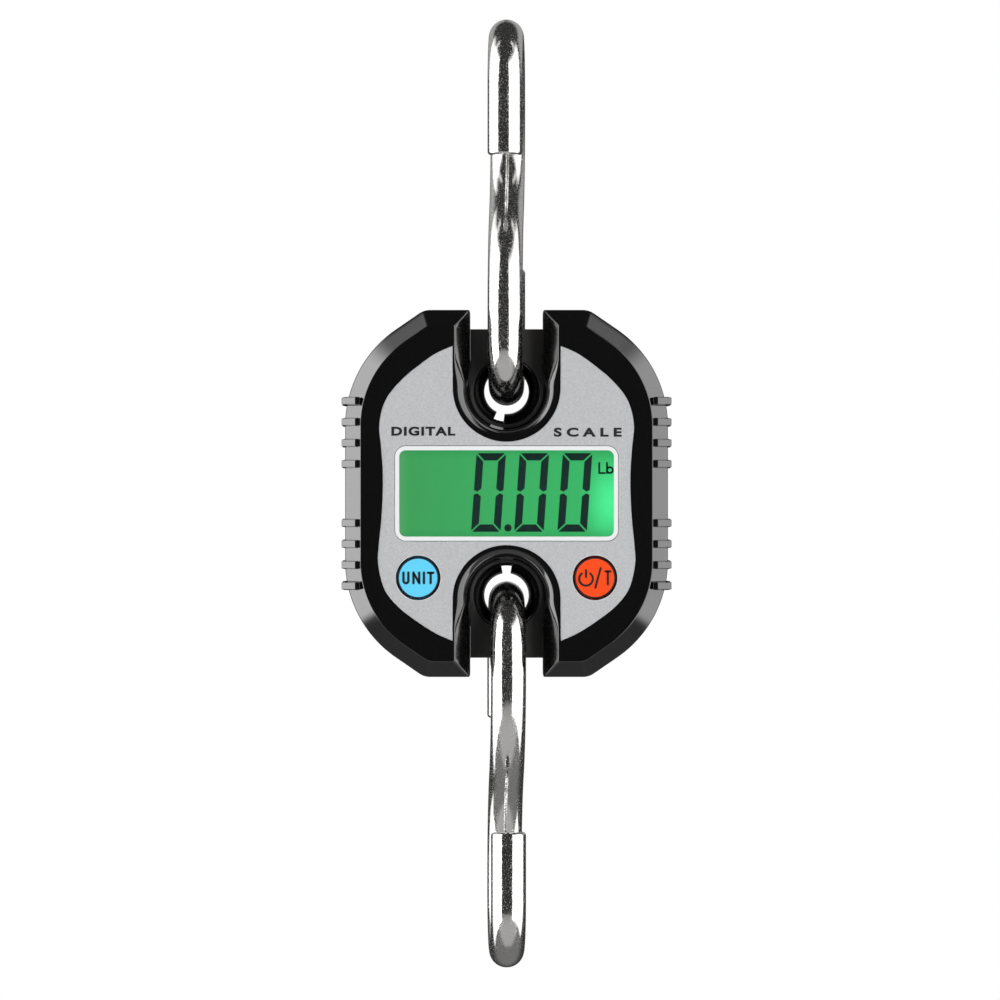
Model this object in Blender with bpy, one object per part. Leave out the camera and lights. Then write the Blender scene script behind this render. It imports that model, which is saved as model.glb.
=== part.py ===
"""Hanging crane scale with two S-hooks, hung from its upper hook.

The frame is metres with +Z up and the display facing -Y. The origin is the hang point: the crown of the
upper hook's top bend, where the sling or bar bears. Sizes below are in the case's own frame, whose origin
is the middle of the case, unless a comment says otherwise.
"""

import math

import bmesh
import bpy

MM = 0.001

# Case outline, seen from the front
CASE_HALF_WIDTH = 40.7 * MM
CASE_HALF_HEIGHT = 46.25 * MM
SHOULDER_RADIUS = 29.5 * MM
SHOULDER_ANGLE = math.radians(55.5)
SHOULDER_START = 17.0 * MM
SHOULDER_STEPS = 6

# Case section, front to back
CASE_HALF_DEPTH = 15.0 * MM
CHAMFER = 4.2 * MM
CHAMFER_DEPTH = 10.8 * MM
SIDE_DRAFT = 0.25 * MM
WALL = 2.0 * MM
FACE_WALL_BACK = 12.9 * MM
CAVITY_CHAMFER_START = 10.1 * MM
CAVITY_CHAMFER = 2.8 * MM
PARTING_GAP = 0.05 * MM

# Grip ribs on both sides of the case
RIB_PITCH = 5.25 * MM
RIB_FIRST = 7.4 * MM
RIB_HEIGHT = 2.1 * MM
RIB_REACH = 41.4 * MM
RIBS_PER_GROUP = 4

# Notches at both ends, which leave the load cell's eyes open to the hooks
EYE_OFFSET = 25.7 * MM
BRIDGE_END = 41.3 * MM
NOTCH_HALF_WIDTH = 9.2 * MM
NOTCH_FLOOR_HALF_WIDTH = 8.8 * MM
NOTCH_FLOOR = 6.0 * MM
NOTCH_WALL = 1.6 * MM
FLOOR_THICKNESS = 1.7 * MM
FRONT_LIP = 12.7 * MM
REAR_LIP = 12.0 * MM
LIP_CENTRE = 26.4 * MM
NOTCH_STEPS = 14
EYE_HOLE = 8.35 * MM

# Split bushes in the eyes
BUSH_BORE = 5.6 * MM
BUSH_CROWN = 8.6 * MM
BUSH_NECK = 8.2 * MM
BUSH_COLLAR = 9.3 * MM
BUSH_HALF_WIDTH = 5.9 * MM
BUSH_SLOT = math.radians(20)
UPPER_BUSH_TURN = math.radians(15.5)

# Load cell
CELL_HALF_DEPTH = 4.0 * MM
CELL_BORE = 9.5 * MM
CELL_EYE = 12.0 * MM
CELL_BAR_BACK = 1.0 * MM
CELL_BAR_HALF_WIDTH = 13.0 * MM
CELL_SLOT = 1.4 * MM
CELL_SLOT_OFFSET = 5.3 * MM
CELL_SCREW = (10.7 * MM, 15.3 * MM)
GAUGE_HALF = (2.0 * MM, 1.3 * MM)
GAUGE_PLACE = (5.4 * MM, 2.2 * MM)

# S-hooks, bent from round bar
BAR_RADIUS = 4.5 * MM
BEND_RADIUS = 13.5 * MM
HOOK_LENGTH = 97.6 * MM
TIP_STRAIGHT = 17.0 * MM
SHAFT_STRAIGHT = 5.0 * MM
TIP_CHAMFER = 0.5 * MM
SEAT_GAP = 0.25 * MM
UPPER_HOOK_TWIST = math.radians(-1.6)
LOWER_HOOK_TWIST = math.radians(2.1)
HOOK_SIDES = 14

# Face plate, window and keys
PLATE_FRONT = 14.9 * MM
PLATE_THICKNESS = 0.4 * MM
PLATE_RECESS = 14.4 * MM
PLATE_NOTCH = 13.45 * MM
PLATE_GAP = 0.15 * MM
PLATE_CURVE = (
    (13.5 * MM, 36.9 * MM),
    (20.3 * MM, 33.4 * MM),
    (26.4 * MM, 28.5 * MM),
    (30.5 * MM, 22.9 * MM),
    (31.9 * MM, 17.6 * MM),
    (31.5 * MM, 11.0 * MM),
    (31.05 * MM, 4.0 * MM),
)
LENS_HALF = (27.9 * MM, 11.85 * MM)
LENS_CORNER = 2.7 * MM
LENS_BACK = 13.6 * MM
LEDGE_HALF = (27.0 * MM, 11.0 * MM)
KEY_CENTRE = (22.1 * MM, -21.1 * MM)
KEY_RADIUS = 5.05 * MM
KEY_HOLE = 5.45 * MM
KEY_FLANGE = 6.2 * MM
KEY_FRONT = 15.1 * MM

# Display stack and circuit board, as distances in front of the case's middle
GLASS = (12.6 * MM, 10.4 * MM)
GLASS_HALF = (28.2 * MM, 11.2 * MM)
BACKLIGHT = (10.2 * MM, 7.6 * MM)
BACKLIGHT_HALF_HEIGHT = 9.2 * MM
BOARD = (6.9 * MM, 5.4 * MM)
BOARD_HALF = (34.4 * MM, 12.5 * MM)
BOARD_LOBE_END = 27.4 * MM
BOARD_LOBE = (16.4 * MM, 28.6 * MM)
BOARD_SCREW = (31.9 * MM, 9.6 * MM)

# Screws that close the case
CASE_SCREW = (33.0 * MM, 24.6 * MM)
CASE_BOSS = 3.2 * MM
HEAD_SEAT = 9.0 * MM

# Battery bay, cells and door
BAY_HALF = (25.3 * MM, 11.6 * MM)
BAY_FLOOR = 2.3 * MM
BAY_BOTTOM = 1.3 * MM
BAY_WALL = 1.6 * MM
BATTERY_RADIUS = 5.25 * MM
BATTERY_LENGTH = 43.7 * MM
BATTERY_NUB = 0.8 * MM
BATTERY_DEPTH = 7.75 * MM
BATTERY_OFFSET = 5.55 * MM
DOOR_HALF = (27.2 * MM, 12.1 * MM)
DOOR_FRONT = 13.35 * MM
DOOR_BACK = 14.85 * MM
DOOR_GAP = 0.2 * MM
TAB_CENTRE = 15.0 * MM
TAB_HALF = 3.0 * MM
CONTACT_THICKNESS = 0.4 * MM
CONTACT_INSET = 0.3 * MM

SEAT_CENTRE = EYE_OFFSET + BUSH_BORE - BAR_RADIUS - SEAT_GAP
BEND_CENTRE = SEAT_CENTRE + BEND_RADIUS
FAR_BEND_CENTRE = SEAT_CENTRE - BAR_RADIUS + HOOK_LENGTH - BAR_RADIUS - BEND_RADIUS
HANG_HEIGHT = FAR_BEND_CENTRE + BEND_RADIUS - BAR_RADIUS
CLEAR = 0.12 * MM
BEYOND = 2.0 * MM

BLACK_PLASTIC = ("black_plastic", (0.012, 0.012, 0.013), 0.22, 0.0)
SILVER_FILM = ("silver_film", (0.62, 0.63, 0.65), 0.4, 0.35)
CLEAR_PLASTIC = ("clear_plastic", (0.75, 0.9, 0.8), 0.08, 0.0)
LCD_GREEN = ("lcd_green", (0.12, 0.62, 0.25), 0.3, 0.0)
WHITE_PLASTIC = ("white_plastic", (0.85, 0.86, 0.85), 0.4, 0.0)
GREEN_BOARD = ("green_board", (0.02, 0.18, 0.07), 0.45, 0.0)
GREY_RUBBER = ("grey_rubber", (0.2, 0.2, 0.21), 0.7, 0.0)
BLUE_KEY = ("blue_key", (0.09, 0.68, 0.95), 0.45, 0.0)
ORANGE_KEY = ("orange_key", (0.95, 0.12, 0.02), 0.45, 0.0)
STEEL = ("stainless_steel", (0.62, 0.61, 0.59), 0.2, 1.0)
CELL_STEEL = ("cell_steel", (0.5, 0.5, 0.5), 0.4, 1.0)
ZINC = ("zinc_plate", (0.65, 0.65, 0.63), 0.3, 1.0)
GOLD_FOIL = ("gauge_foil", (0.75, 0.45, 0.12), 0.4, 0.3)
RED_WIRE = ("red_wire", (0.6, 0.03, 0.03), 0.5, 0.0)
BLACK_WIRE = ("black_wire", (0.02, 0.02, 0.02), 0.5, 0.0)
BATTERY_SKIN = ("battery_skin", (0.08, 0.16, 0.42), 0.35, 0.2)


# ---------------------------------------------------------------- outlines, as (across, up) pairs


def arc(centre, radius, start, end, steps):
    """Points on a circle from angle start to angle end, both included."""
    angles = [start + (end - start) * i / steps for i in range(steps + 1)]
    return [(centre[0] + radius * math.cos(a), centre[1] + radius * math.sin(a)) for a in angles]


def circle(centre, radius, sides):
    """A closed circle as an outline."""
    return arc(centre, radius, 0, 2 * math.pi, sides)[:-1]


def rectangle(low, high):
    """A closed rectangle between two corners."""
    return [low, (high[0], low[1]), high, (low[0], high[1])]


def rounded_rectangle(half, corner, steps=3):
    """A rectangle about the origin with round corners."""
    x, z = half[0] - corner, half[1] - corner
    quarter = math.pi / 2
    centres = ((x, z), (-x, z), (-x, -z), (x, -z))
    return [p for i, c in enumerate(centres) for p in arc(c, corner, i * quarter, (i + 1) * quarter, steps)]


def mirrored(quarter):
    """A closed outline from its upper right quarter, which runs from the side to the top."""
    left = [(-x, z) for x, z in reversed(quarter)]
    upper = quarter + left
    return upper + [(x, -z) for x, z in reversed(upper)]


def case_outline():
    """The case from the front: straight sides, round shoulders, and a slope up to a flat end."""
    centre = (CASE_HALF_WIDTH - SHOULDER_RADIUS, SHOULDER_START)
    shoulder = arc(centre, SHOULDER_RADIUS, 0, SHOULDER_ANGLE, SHOULDER_STEPS)
    x, z = shoulder[-1]
    corner = x - (CASE_HALF_HEIGHT - z) * math.tan(SHOULDER_ANGLE)
    return mirrored(shoulder + [(corner, CASE_HALF_HEIGHT)])


def notch_outline(half_width, centre, top):
    """A U open upwards: two straight sides down to a half circle."""
    return arc((0, centre), half_width, -math.pi, 0, NOTCH_STEPS) + [(half_width, top), (-half_width, top)]


def smooth_through(points, steps=2):
    """A Catmull-Rom curve through points, with both ends repeated."""
    padded = [points[0], *points, points[-1]]
    curve = []
    for a, b, c, d in zip(padded, padded[1:], padded[2:], padded[3:]):
        for i in range(steps):
            t = i / steps
            weights = (-t + 2 * t**2 - t**3, 2 - 5 * t**2 + 3 * t**3, t + 4 * t**2 - 3 * t**3, t**3 - t**2)
            curve.append(tuple(sum(w * p[k] for w, p in zip(weights, (a, b, c, d))) / 2 for k in (0, 1)))
    return curve + [points[-1]]


def plate_outline():
    """The face plate: a waisted shield that goes round both notches."""
    curve = smooth_through(PLATE_CURVE)
    notch = arc((0, LIP_CENTRE), PLATE_NOTCH, -math.pi, 0, NOTCH_STEPS)
    upper = notch + curve
    lower = [(x, -z) for x, z in reversed(upper)]
    side = [(-x, z) for x, z in reversed(curve)]
    return upper + [(x, -z) for x, z in reversed(curve)] + lower[len(curve) :] + [(x, -z) for x, z in reversed(side)] + side


def board_outline():
    """The circuit board: a bar behind the display, with a lobe down to each key."""
    x, z = BOARD_HALF
    inner, outer = BOARD_LOBE
    right = [(x, -z), (outer, -z), (outer, -BOARD_LOBE_END), (inner, -BOARD_LOBE_END), (inner, -z)]
    return [(-x, z), (x, z), *right, *[(-a, b) for a, b in reversed(right)]]


def offset(outline, distance):
    """An outline moved outwards by distance, or inwards if it is negative, with mitred corners."""
    turn = sum(a[0] * b[1] - b[0] * a[1] for a, b in zip(outline, outline[1:] + outline[:1]))
    sign = 1 if turn > 0 else -1
    moved = []
    for i, here in enumerate(outline):
        before, after = outline[i - 1], outline[(i + 1) % len(outline)]
        normals = []
        for p, q in ((before, here), (here, after)):
            along = (q[0] - p[0], q[1] - p[1])
            length = math.hypot(*along)
            normals.append((sign * along[1] / length, -sign * along[0] / length))
        (ax, az), (bx, bz) = normals
        scale = distance / max(0.2, 1 + ax * bx + az * bz)
        moved.append((here[0] + (ax + bx) * scale, here[1] + (az + bz) * scale))
    return moved


# ---------------------------------------------------------------- solids


def facing(outline, y, up=1):
    """An outline set in the plane at depth y. up is -1 to turn it upside down."""
    return [(x, y, up * z) for x, z in outline]


def along_x(outline, x):
    """An outline set square to X, its pairs being (y, z)."""
    return [(x, a, b) for a, b in outline]


def skin(bm, loops):
    """Joins closed loops of equal length, one after another, and caps both ends."""
    rings = [[bm.verts.new(p) for p in loop] for loop in loops]
    for low, high in zip(rings, rings[1:]):
        for i in range(len(low)):
            j = (i + 1) % len(low)
            bm.faces.new((low[i], low[j], high[j], high[i]))
    bm.faces.new(reversed(rings[0]))
    bm.faces.new(rings[-1])


def material(spec):
    """The material of that name, made once."""
    name, colour, roughness, metallic = spec
    made = bpy.data.materials.get(name)
    if made is None:
        made = bpy.data.materials.new(name)
        made.use_nodes = True
        shader = made.node_tree.nodes["Principled BSDF"]
        shader.inputs["Base Color"].default_value = (*colour, 1)
        shader.inputs["Roughness"].default_value = roughness
        shader.inputs["Metallic"].default_value = metallic
    return made


def solid(name, bodies, spec, parent, location=(0, 0, 0), smooth_under=30):
    """One object from a list of bodies, each a list of loops. It hangs on an empty."""
    mesh = bpy.data.meshes.new(name)
    bm = bmesh.new()
    for loops in bodies:
        skin(bm, loops)
    bmesh.ops.recalc_face_normals(bm, faces=bm.faces)
    bm.to_mesh(mesh)
    bm.free()
    mesh.shade_smooth()
    mesh.set_sharp_from_angle(angle=math.radians(smooth_under))
    mesh.materials.append(material(spec))
    made = bpy.data.objects.new(name, mesh)
    bpy.context.scene.collection.objects.link(made)
    made.parent = parent
    made.location = location
    return made


def repeated(name, loops, spec, parent, places):
    """Copies of one body, modelled about the origin, that share a mesh. They are numbered from 1."""
    first = solid(f"{name}_1", [loops], spec, parent, places[0])
    for i, place in enumerate(places[1:], start=2):
        made = bpy.data.objects.new(f"{name}_{i}", first.data)
        bpy.context.scene.collection.objects.link(made)
        made.parent = parent
        made.location = place


def cutter(name, bodies, parent, location=(0, 0, 0)):
    """A solid that only cuts others."""
    made = solid(name, bodies, BLACK_PLASTIC, parent, location)
    made.hide_render = True
    made.display_type = "WIRE"
    return made


def combine(target, other, operation="DIFFERENCE"):
    """A live Boolean on target."""
    modifier = target.modifiers.new(f"{operation.lower()}_{other.name}", "BOOLEAN")
    modifier.object = other
    modifier.operation = operation
    modifier.solver = "EXACT"


def empty(name, location, parent=None, turn=0.0):
    """An empty that pieces hang on, turned about Z."""
    made = bpy.data.objects.new(name, None)
    bpy.context.scene.collection.objects.link(made)
    made.parent = parent
    made.location = location
    made.rotation_euler = (0, 0, turn)
    return made


def slab(outline, front, back):
    """A body: an outline carried from depth front to depth back."""
    return [facing(outline, front), facing(outline, back)]


def turned(profile, centre, sides):
    """A body turned about an axis along Y through centre, from (radius, y) pairs."""
    return [facing(circle(centre, radius, sides), y) for radius, y in profile]


# ---------------------------------------------------------------- case shells


def case_loops(face):
    """The outside of one shell: face is -1 for the front and 1 for the rear."""
    outline = case_outline()
    return [
        facing(outline, face * PARTING_GAP),
        facing(offset(outline, -SIDE_DRAFT), face * CHAMFER_DEPTH),
        facing(offset(outline, -CHAMFER), face * CASE_HALF_DEPTH),
    ]


def cavity_loops(face):
    """The inside of one shell, open past the parting plane."""
    outline = case_outline()
    return [
        facing(offset(outline, -WALL), -face * BEYOND),
        facing(offset(outline, -WALL - SIDE_DRAFT), face * CAVITY_CHAMFER_START),
        facing(offset(outline, -WALL - CAVITY_CHAMFER), face * FACE_WALL_BACK),
    ]


def ribs(face):
    """The grip ribs of one shell, as bodies."""
    inner = CASE_HALF_WIDTH - WALL
    front_edge = CASE_HALF_WIDTH - CHAMFER + 1.4 * MM
    chamfer_start = CASE_HALF_DEPTH - (RIB_REACH - front_edge)
    flush = CASE_HALF_DEPTH - 0.1 * MM
    section = [
        (inner - CHAMFER, face * flush),
        (front_edge, face * flush),
        (RIB_REACH - 0.1 * MM, face * chamfer_start),
        (RIB_REACH, face * 2 * PARTING_GAP),
        (inner - CHAMFER, face * 2 * PARTING_GAP),
    ]
    bodies = []
    for side in (-1, 1):
        for half in (-1, 1):
            for i in range(RIBS_PER_GROUP):
                z = half * (RIB_FIRST + i * RIB_PITCH)
                ends = (z - RIB_HEIGHT / 2, z + RIB_HEIGHT / 2)
                bodies.append([[(side * x, y, level) for x, y in section] for level in ends])
    return bodies


def notch_loops(face, lip, up, grow=0.0):
    """The sloping recess round an eye, from past the face to the notch floor."""
    slope = (lip - NOTCH_FLOOR_HALF_WIDTH) / (CASE_HALF_DEPTH - NOTCH_FLOOR)
    rise = (LIP_CENTRE - EYE_OFFSET) / (CASE_HALF_DEPTH - NOTCH_FLOOR)
    past = 0.5 * MM
    top = CASE_HALF_HEIGHT + BEYOND
    outer = notch_outline(lip + slope * past + grow, LIP_CENTRE + rise * past, top)
    inner = notch_outline(NOTCH_FLOOR_HALF_WIDTH + grow, EYE_OFFSET, top)
    loops = [facing(outer, face * (CASE_HALF_DEPTH + past), up), facing(inner, face * NOTCH_FLOOR, up)]
    if grow:
        loops.append(facing(inner, face * (NOTCH_FLOOR - FLOOR_THICKNESS), up))
    return loops


def end_gap(up, grow=0.0):
    """The straight gap past the bridge at one end of the case."""
    top = CASE_HALF_HEIGHT + BEYOND
    deep = CASE_HALF_DEPTH + BEYOND
    across = NOTCH_HALF_WIDTH + grow
    outline = rectangle((-across, BRIDGE_END - grow), (across, top))
    return [facing(outline, -deep, up), facing(outline, deep, up)]


def case_posts(face, radius, start, end):
    """Four round bodies on the case screws' axes."""
    x, z = CASE_SCREW
    return [
        turned(((radius, face * start), (radius, face * end)), (i * x, j * z), 12) for i in (-1, 1) for j in (-1, 1)
    ]


def shell(name, face, lip, frame, posts, cuts):
    """One half of the case. posts stay solid in its cavity, and cuts are taken out last."""
    cavity = cutter(f"{name}_cavity", [cavity_loops(face)], frame)
    for i, up in enumerate((1, -1)):
        combine(cavity, cutter(f"{name}_notch_wall_{i}", [notch_loops(face, lip, up, NOTCH_WALL)], frame))
        combine(cavity, cutter(f"{name}_bridge_wall_{i}", [end_gap(up, WALL)], frame))
    for i, bodies in enumerate(posts):
        combine(cavity, cutter(f"{name}_posts_{i}", bodies, frame))
    made = solid(name, [case_loops(face)], BLACK_PLASTIC, frame)
    combine(made, cutter(f"{name}_ribs", ribs(face), frame), "UNION")
    combine(made, cavity)
    for i, up in enumerate((1, -1)):
        combine(made, cutter(f"{name}_notch_{i}", [notch_loops(face, lip, up)], frame))
        combine(made, cutter(f"{name}_end_gap_{i}", [end_gap(up)], frame))
    floor = NOTCH_FLOOR + BEYOND
    eyes = [turned(((EYE_HOLE, 0), (EYE_HOLE, face * floor)), (0, up * EYE_OFFSET), 24) for up in (1, -1)]
    combine(made, cutter(f"{name}_eyes", eyes, frame))
    for i, bodies in enumerate(cuts):
        combine(made, cutter(f"{name}_cut_{i}", bodies, frame))
    return made


def front_shell(frame):
    """The front half: it holds the plate, the window, the keys and the board."""
    x, z = BOARD_SCREW
    board_axes = [(i * x, j * z) for i in (-1, 1) for j in (-1, 1)]
    board_posts = [turned(((2.0 * MM, -14 * MM), (2.0 * MM, -BOARD[0] - CLEAR)), c, 10) for c in board_axes]
    pilots = [turned(((0.75 * MM, -12.0 * MM), (0.75 * MM, 0)), c, 8) for c in board_axes]
    key_axes = [(side * KEY_CENTRE[0], KEY_CENTRE[1]) for side in (-1, 1)]
    outside = -CASE_HALF_DEPTH - BEYOND
    inside = -FACE_WALL_BACK + BEYOND
    lens_hole = offset(rounded_rectangle(LENS_HALF, LENS_CORNER), PLATE_GAP)
    window = [slab(lens_hole, outside, -LENS_BACK + CLEAR)]
    ledge = [slab(rounded_rectangle(LEDGE_HALF, 1.6 * MM), outside, inside)]
    holes = [turned(((KEY_HOLE, outside), (KEY_HOLE, inside)), c, 24) for c in key_axes]
    recess = [slab(offset(plate_outline(), PLATE_GAP), outside, -PLATE_RECESS)]
    return shell(
        "front_shell",
        -1,
        FRONT_LIP,
        frame,
        [case_posts(-1, CASE_BOSS, 0.1 * MM, 13.5 * MM), board_posts],
        [recess, window, ledge, holes, pilots, case_posts(-1, 1.05 * MM, -BEYOND, 8.5 * MM)],
    )


def rear_shell(frame):
    """The rear half: it holds the load cell and the battery bay."""
    x, z = BAY_HALF
    deep = CASE_HALF_DEPTH + BEYOND
    block = rectangle((-x - BAY_WALL, -z - BAY_WALL), (x + BAY_WALL, z + BAY_WALL))
    bay = rectangle((-x, -z), (x, z))
    door = offset(rectangle((-DOOR_HALF[0], -DOOR_HALF[1]), DOOR_HALF), DOOR_GAP)
    tabs = []
    tails = []
    for side in (-1, 1):
        low = (side * TAB_CENTRE - TAB_HALF - DOOR_GAP, -z - 2.2 * MM)
        high = (side * TAB_CENTRE + TAB_HALF + DOOR_GAP, -z + BEYOND)
        tabs.append(slab(rectangle(low, high), 11.4 * MM, DOOR_FRONT))
        low, high = sorted((side * (x - BEYOND), side * (x + BAY_WALL + BEYOND)))
        tail = rectangle((low, -BATTERY_OFFSET - 1.4 * MM), (high, -BATTERY_OFFSET + 1.4 * MM))
        tails.append(slab(tail, 4.0 * MM, 5.2 * MM))
    cell_axes = [(side * CELL_SCREW[0], CELL_SCREW[1]) for side in (-1, 1)]
    cell_posts = [turned(((2.2 * MM, BAY_BOTTOM), (2.2 * MM, 14 * MM)), c, 10) for c in cell_axes]
    cell_pilots = [turned(((1.0 * MM, 0), (1.0 * MM, 7 * MM)), c, 8) for c in cell_axes]
    return shell(
        "rear_shell",
        1,
        REAR_LIP,
        frame,
        [case_posts(1, CASE_BOSS + 0.4 * MM, 0.1 * MM, 13.5 * MM), [slab(block, BAY_BOTTOM, 14 * MM)], cell_posts],
        [
            [slab(bay, BAY_FLOOR, deep)],
            [slab(door, DOOR_FRONT - DOOR_GAP, deep)],
            tabs,
            tails,
            cell_pilots,
            case_posts(1, 1.5 * MM, -BEYOND, deep),
            case_posts(1, 2.8 * MM, HEAD_SEAT, deep),
        ],
    )


# ---------------------------------------------------------------- front pieces


def face_plate(frame):
    """The printed film on the front, with a window and two key holes."""
    made = solid("face_plate", [slab(plate_outline(), -PLATE_FRONT, -PLATE_FRONT + PLATE_THICKNESS)], SILVER_FILM, frame)
    outside = -CASE_HALF_DEPTH - BEYOND
    window = offset(rounded_rectangle(LENS_HALF, LENS_CORNER), PLATE_GAP)
    holes = [slab(window, outside, -10 * MM)]
    for side in (-1, 1):
        centre = (side * KEY_CENTRE[0], KEY_CENTRE[1])
        holes.append(turned(((KEY_HOLE, outside), (KEY_HOLE, -10 * MM)), centre, 24))
    combine(made, cutter("face_plate_holes", holes, frame))


def display_stack(frame):
    """Window lens, LCD glass, backlight, frame and contact strips, front to back."""
    lens = slab(rounded_rectangle(LENS_HALF, LENS_CORNER), -PLATE_FRONT, -LENS_BACK)
    solid("display_lens", [lens], CLEAR_PLASTIC, frame)
    x, z = GLASS_HALF
    glass = rectangle((-x, -z), (x, z))
    solid("lcd_glass", [slab(glass, -GLASS[0], -GLASS[1])], LCD_GREEN, frame)
    light = rectangle((-x, -BACKLIGHT_HALF_HEIGHT), (x, BACKLIGHT_HALF_HEIGHT))
    solid("backlight_panel", [slab(light, -BACKLIGHT[0], -BACKLIGHT[1])], WHITE_PLASTIC, frame)
    holder_front, holder_back = -GLASS[0] - CLEAR, -BOARD[0] - CLEAR
    holder = solid("display_frame", [slab(offset(glass, 1.0 * MM), holder_front, holder_back)], WHITE_PLASTIC, frame)
    opening = slab(offset(glass, 0.2 * MM), holder_front - BEYOND, holder_back + BEYOND)
    combine(holder, cutter("display_frame_opening", [opening], frame))
    strip = slab(rectangle((-26 * MM, -0.75 * MM), (26 * MM, 0.75 * MM)), -GLASS[1] + CLEAR, holder_back)
    repeated("contact_strip", strip, GREY_RUBBER, frame, [(0, 0, up * 10.25 * MM) for up in (1, -1)])


def key(name, side, spec, frame):
    """A key cap with its flange, on a frame at its own axis, and the plunger that it pushes."""
    axis = empty(f"{name}_axis", (side * KEY_CENTRE[0], 0, KEY_CENTRE[1]), frame)
    edge = 0.3 * MM
    cap = (
        (KEY_RADIUS - edge, -KEY_FRONT),
        (KEY_RADIUS, -KEY_FRONT + edge),
        (KEY_RADIUS, -12.55 * MM),
        (KEY_FLANGE, -12.55 * MM),
        (KEY_FLANGE, -11.85 * MM),
        (1.6 * MM, -11.85 * MM),
        (1.6 * MM, -11.6 * MM),
    )
    solid(f"{name}_key", [turned(cap, (0, 0), 20)], spec, axis)
    plunger = turned(((1.7 * MM, -11.5 * MM), (1.7 * MM, -9.4 * MM)), (0, 0), 14)
    solid(f"{name}_plunger", [plunger], BLACK_PLASTIC, axis)
    half = 3.0 * MM
    body = slab(rectangle((-half, -half), (half, half)), -10.4 * MM, -BOARD[0] - CLEAR)
    switch = solid(f"{name}_switch", [body], ZINC, axis)
    bore = turned(((1.9 * MM, -12 * MM), (1.9 * MM, -8.4 * MM)), (0, 0), 14)
    combine(switch, cutter(f"{name}_switch_bore", [bore], axis))


def circuit_board(frame):
    """The board with its drilled corners, its chip, its crystal, its capacitors and its screws."""
    made = solid("circuit_board", [slab(board_outline(), -BOARD[0], -BOARD[1])], GREEN_BOARD, frame)
    x, z = BOARD_SCREW
    axes = [(i * x, j * z) for i in (-1, 1) for j in (-1, 1)]
    holes = [turned(((1.1 * MM, -8 * MM), (1.1 * MM, -4 * MM)), c, 12) for c in axes]
    combine(made, cutter("circuit_board_holes", holes, frame))
    back = -BOARD[1] + CLEAR
    blob = turned(((4.2 * MM, back), (3.6 * MM, back + 0.8 * MM), (1.8 * MM, back + 1.3 * MM)), (-20 * MM, 0), 20)
    solid("controller_chip", [blob], BLACK_PLASTIC, frame)
    can = rounded_rectangle((3.6 * MM, 1.6 * MM), 1.5 * MM, 4)
    can = [(a + 20 * MM, b + 5 * MM) for a, b in can]
    solid("crystal_can", [slab(can, back, back + 2.6 * MM)], ZINC, frame)
    drum = turned(((1.9 * MM, 0), (1.9 * MM, 4.2 * MM), (1.6 * MM, 4.5 * MM)), (0, 0), 14)
    repeated("capacitor", drum, BLACK_PLASTIC, frame, [(x, back, -4 * MM) for x in (18 * MM, 26 * MM)])
    screw = turned(((1.8 * MM, 0.9 * MM), (1.8 * MM, 0), (0.65 * MM, 0), (0.65 * MM, -6.2 * MM)), (0, 0), 12)
    repeated("board_screw", screw, ZINC, frame, [(x, back, z) for x, z in axes])


# ---------------------------------------------------------------- load path


def load_cell(frame):
    """A steel S-beam: an eye at each end and a thinner bar cut by two slots between them."""
    x = CELL_BAR_HALF_WIDTH
    z = EYE_OFFSET - 8 * MM
    front = -CELL_HALF_DEPTH
    made = solid("load_cell", [slab(rectangle((-x, -z), (x, z)), front, CELL_BAR_BACK)], CELL_STEEL, frame)
    eyes = []
    bores = []
    for up in (1, -1):
        centre = (0, up * EYE_OFFSET)
        eyes.append(turned(((CELL_EYE, front), (CELL_EYE, CELL_HALF_DEPTH)), centre, 26))
        bores.append(turned(((CELL_BORE, -BEYOND + front), (CELL_BORE, CELL_HALF_DEPTH + BEYOND)), centre, 24))
    combine(made, cutter("load_cell_eyes", eyes, frame), "UNION")
    combine(made, cutter("load_cell_bores", bores, frame))
    slots = []
    for side in (-1, 1):
        ends = sorted((-side * x / 3, side * (x + BEYOND)))
        middle = side * CELL_SLOT_OFFSET
        slot = rectangle((ends[0], middle - CELL_SLOT / 2), (ends[1], middle + CELL_SLOT / 2))
        slots.append(slab(slot, front - BEYOND, CELL_HALF_DEPTH + BEYOND))
    slots.append(turned(((2.2 * MM, front - BEYOND), (2.2 * MM, BEYOND)), (0, 0), 16))
    for side in (-1, 1):
        centre = (side * CELL_SCREW[0], CELL_SCREW[1])
        slots.append(turned(((1.2 * MM, front - BEYOND), (1.2 * MM, BEYOND)), centre, 12))
    combine(made, cutter("load_cell_slots", slots, frame))
    face = front - CLEAR
    pad = slab(rectangle((-GAUGE_HALF[0], -GAUGE_HALF[1]), GAUGE_HALF), -0.25 * MM, 0)
    places = [(i * GAUGE_PLACE[0], face, j * GAUGE_PLACE[1]) for i in (-1, 1) for j in (-1, 1)]
    repeated("strain_gauge", pad, GOLD_FOIL, frame, places)
    screw = turned(((2.1 * MM, -0.7 * MM), (2.3 * MM, 0), (0.9 * MM, 0), (0.9 * MM, 10.6 * MM)), (0, 0), 12)
    places = [(side * CELL_SCREW[0], face, CELL_SCREW[1]) for side in (-1, 1)]
    repeated("cell_screw", screw, ZINC, frame, places)


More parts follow.
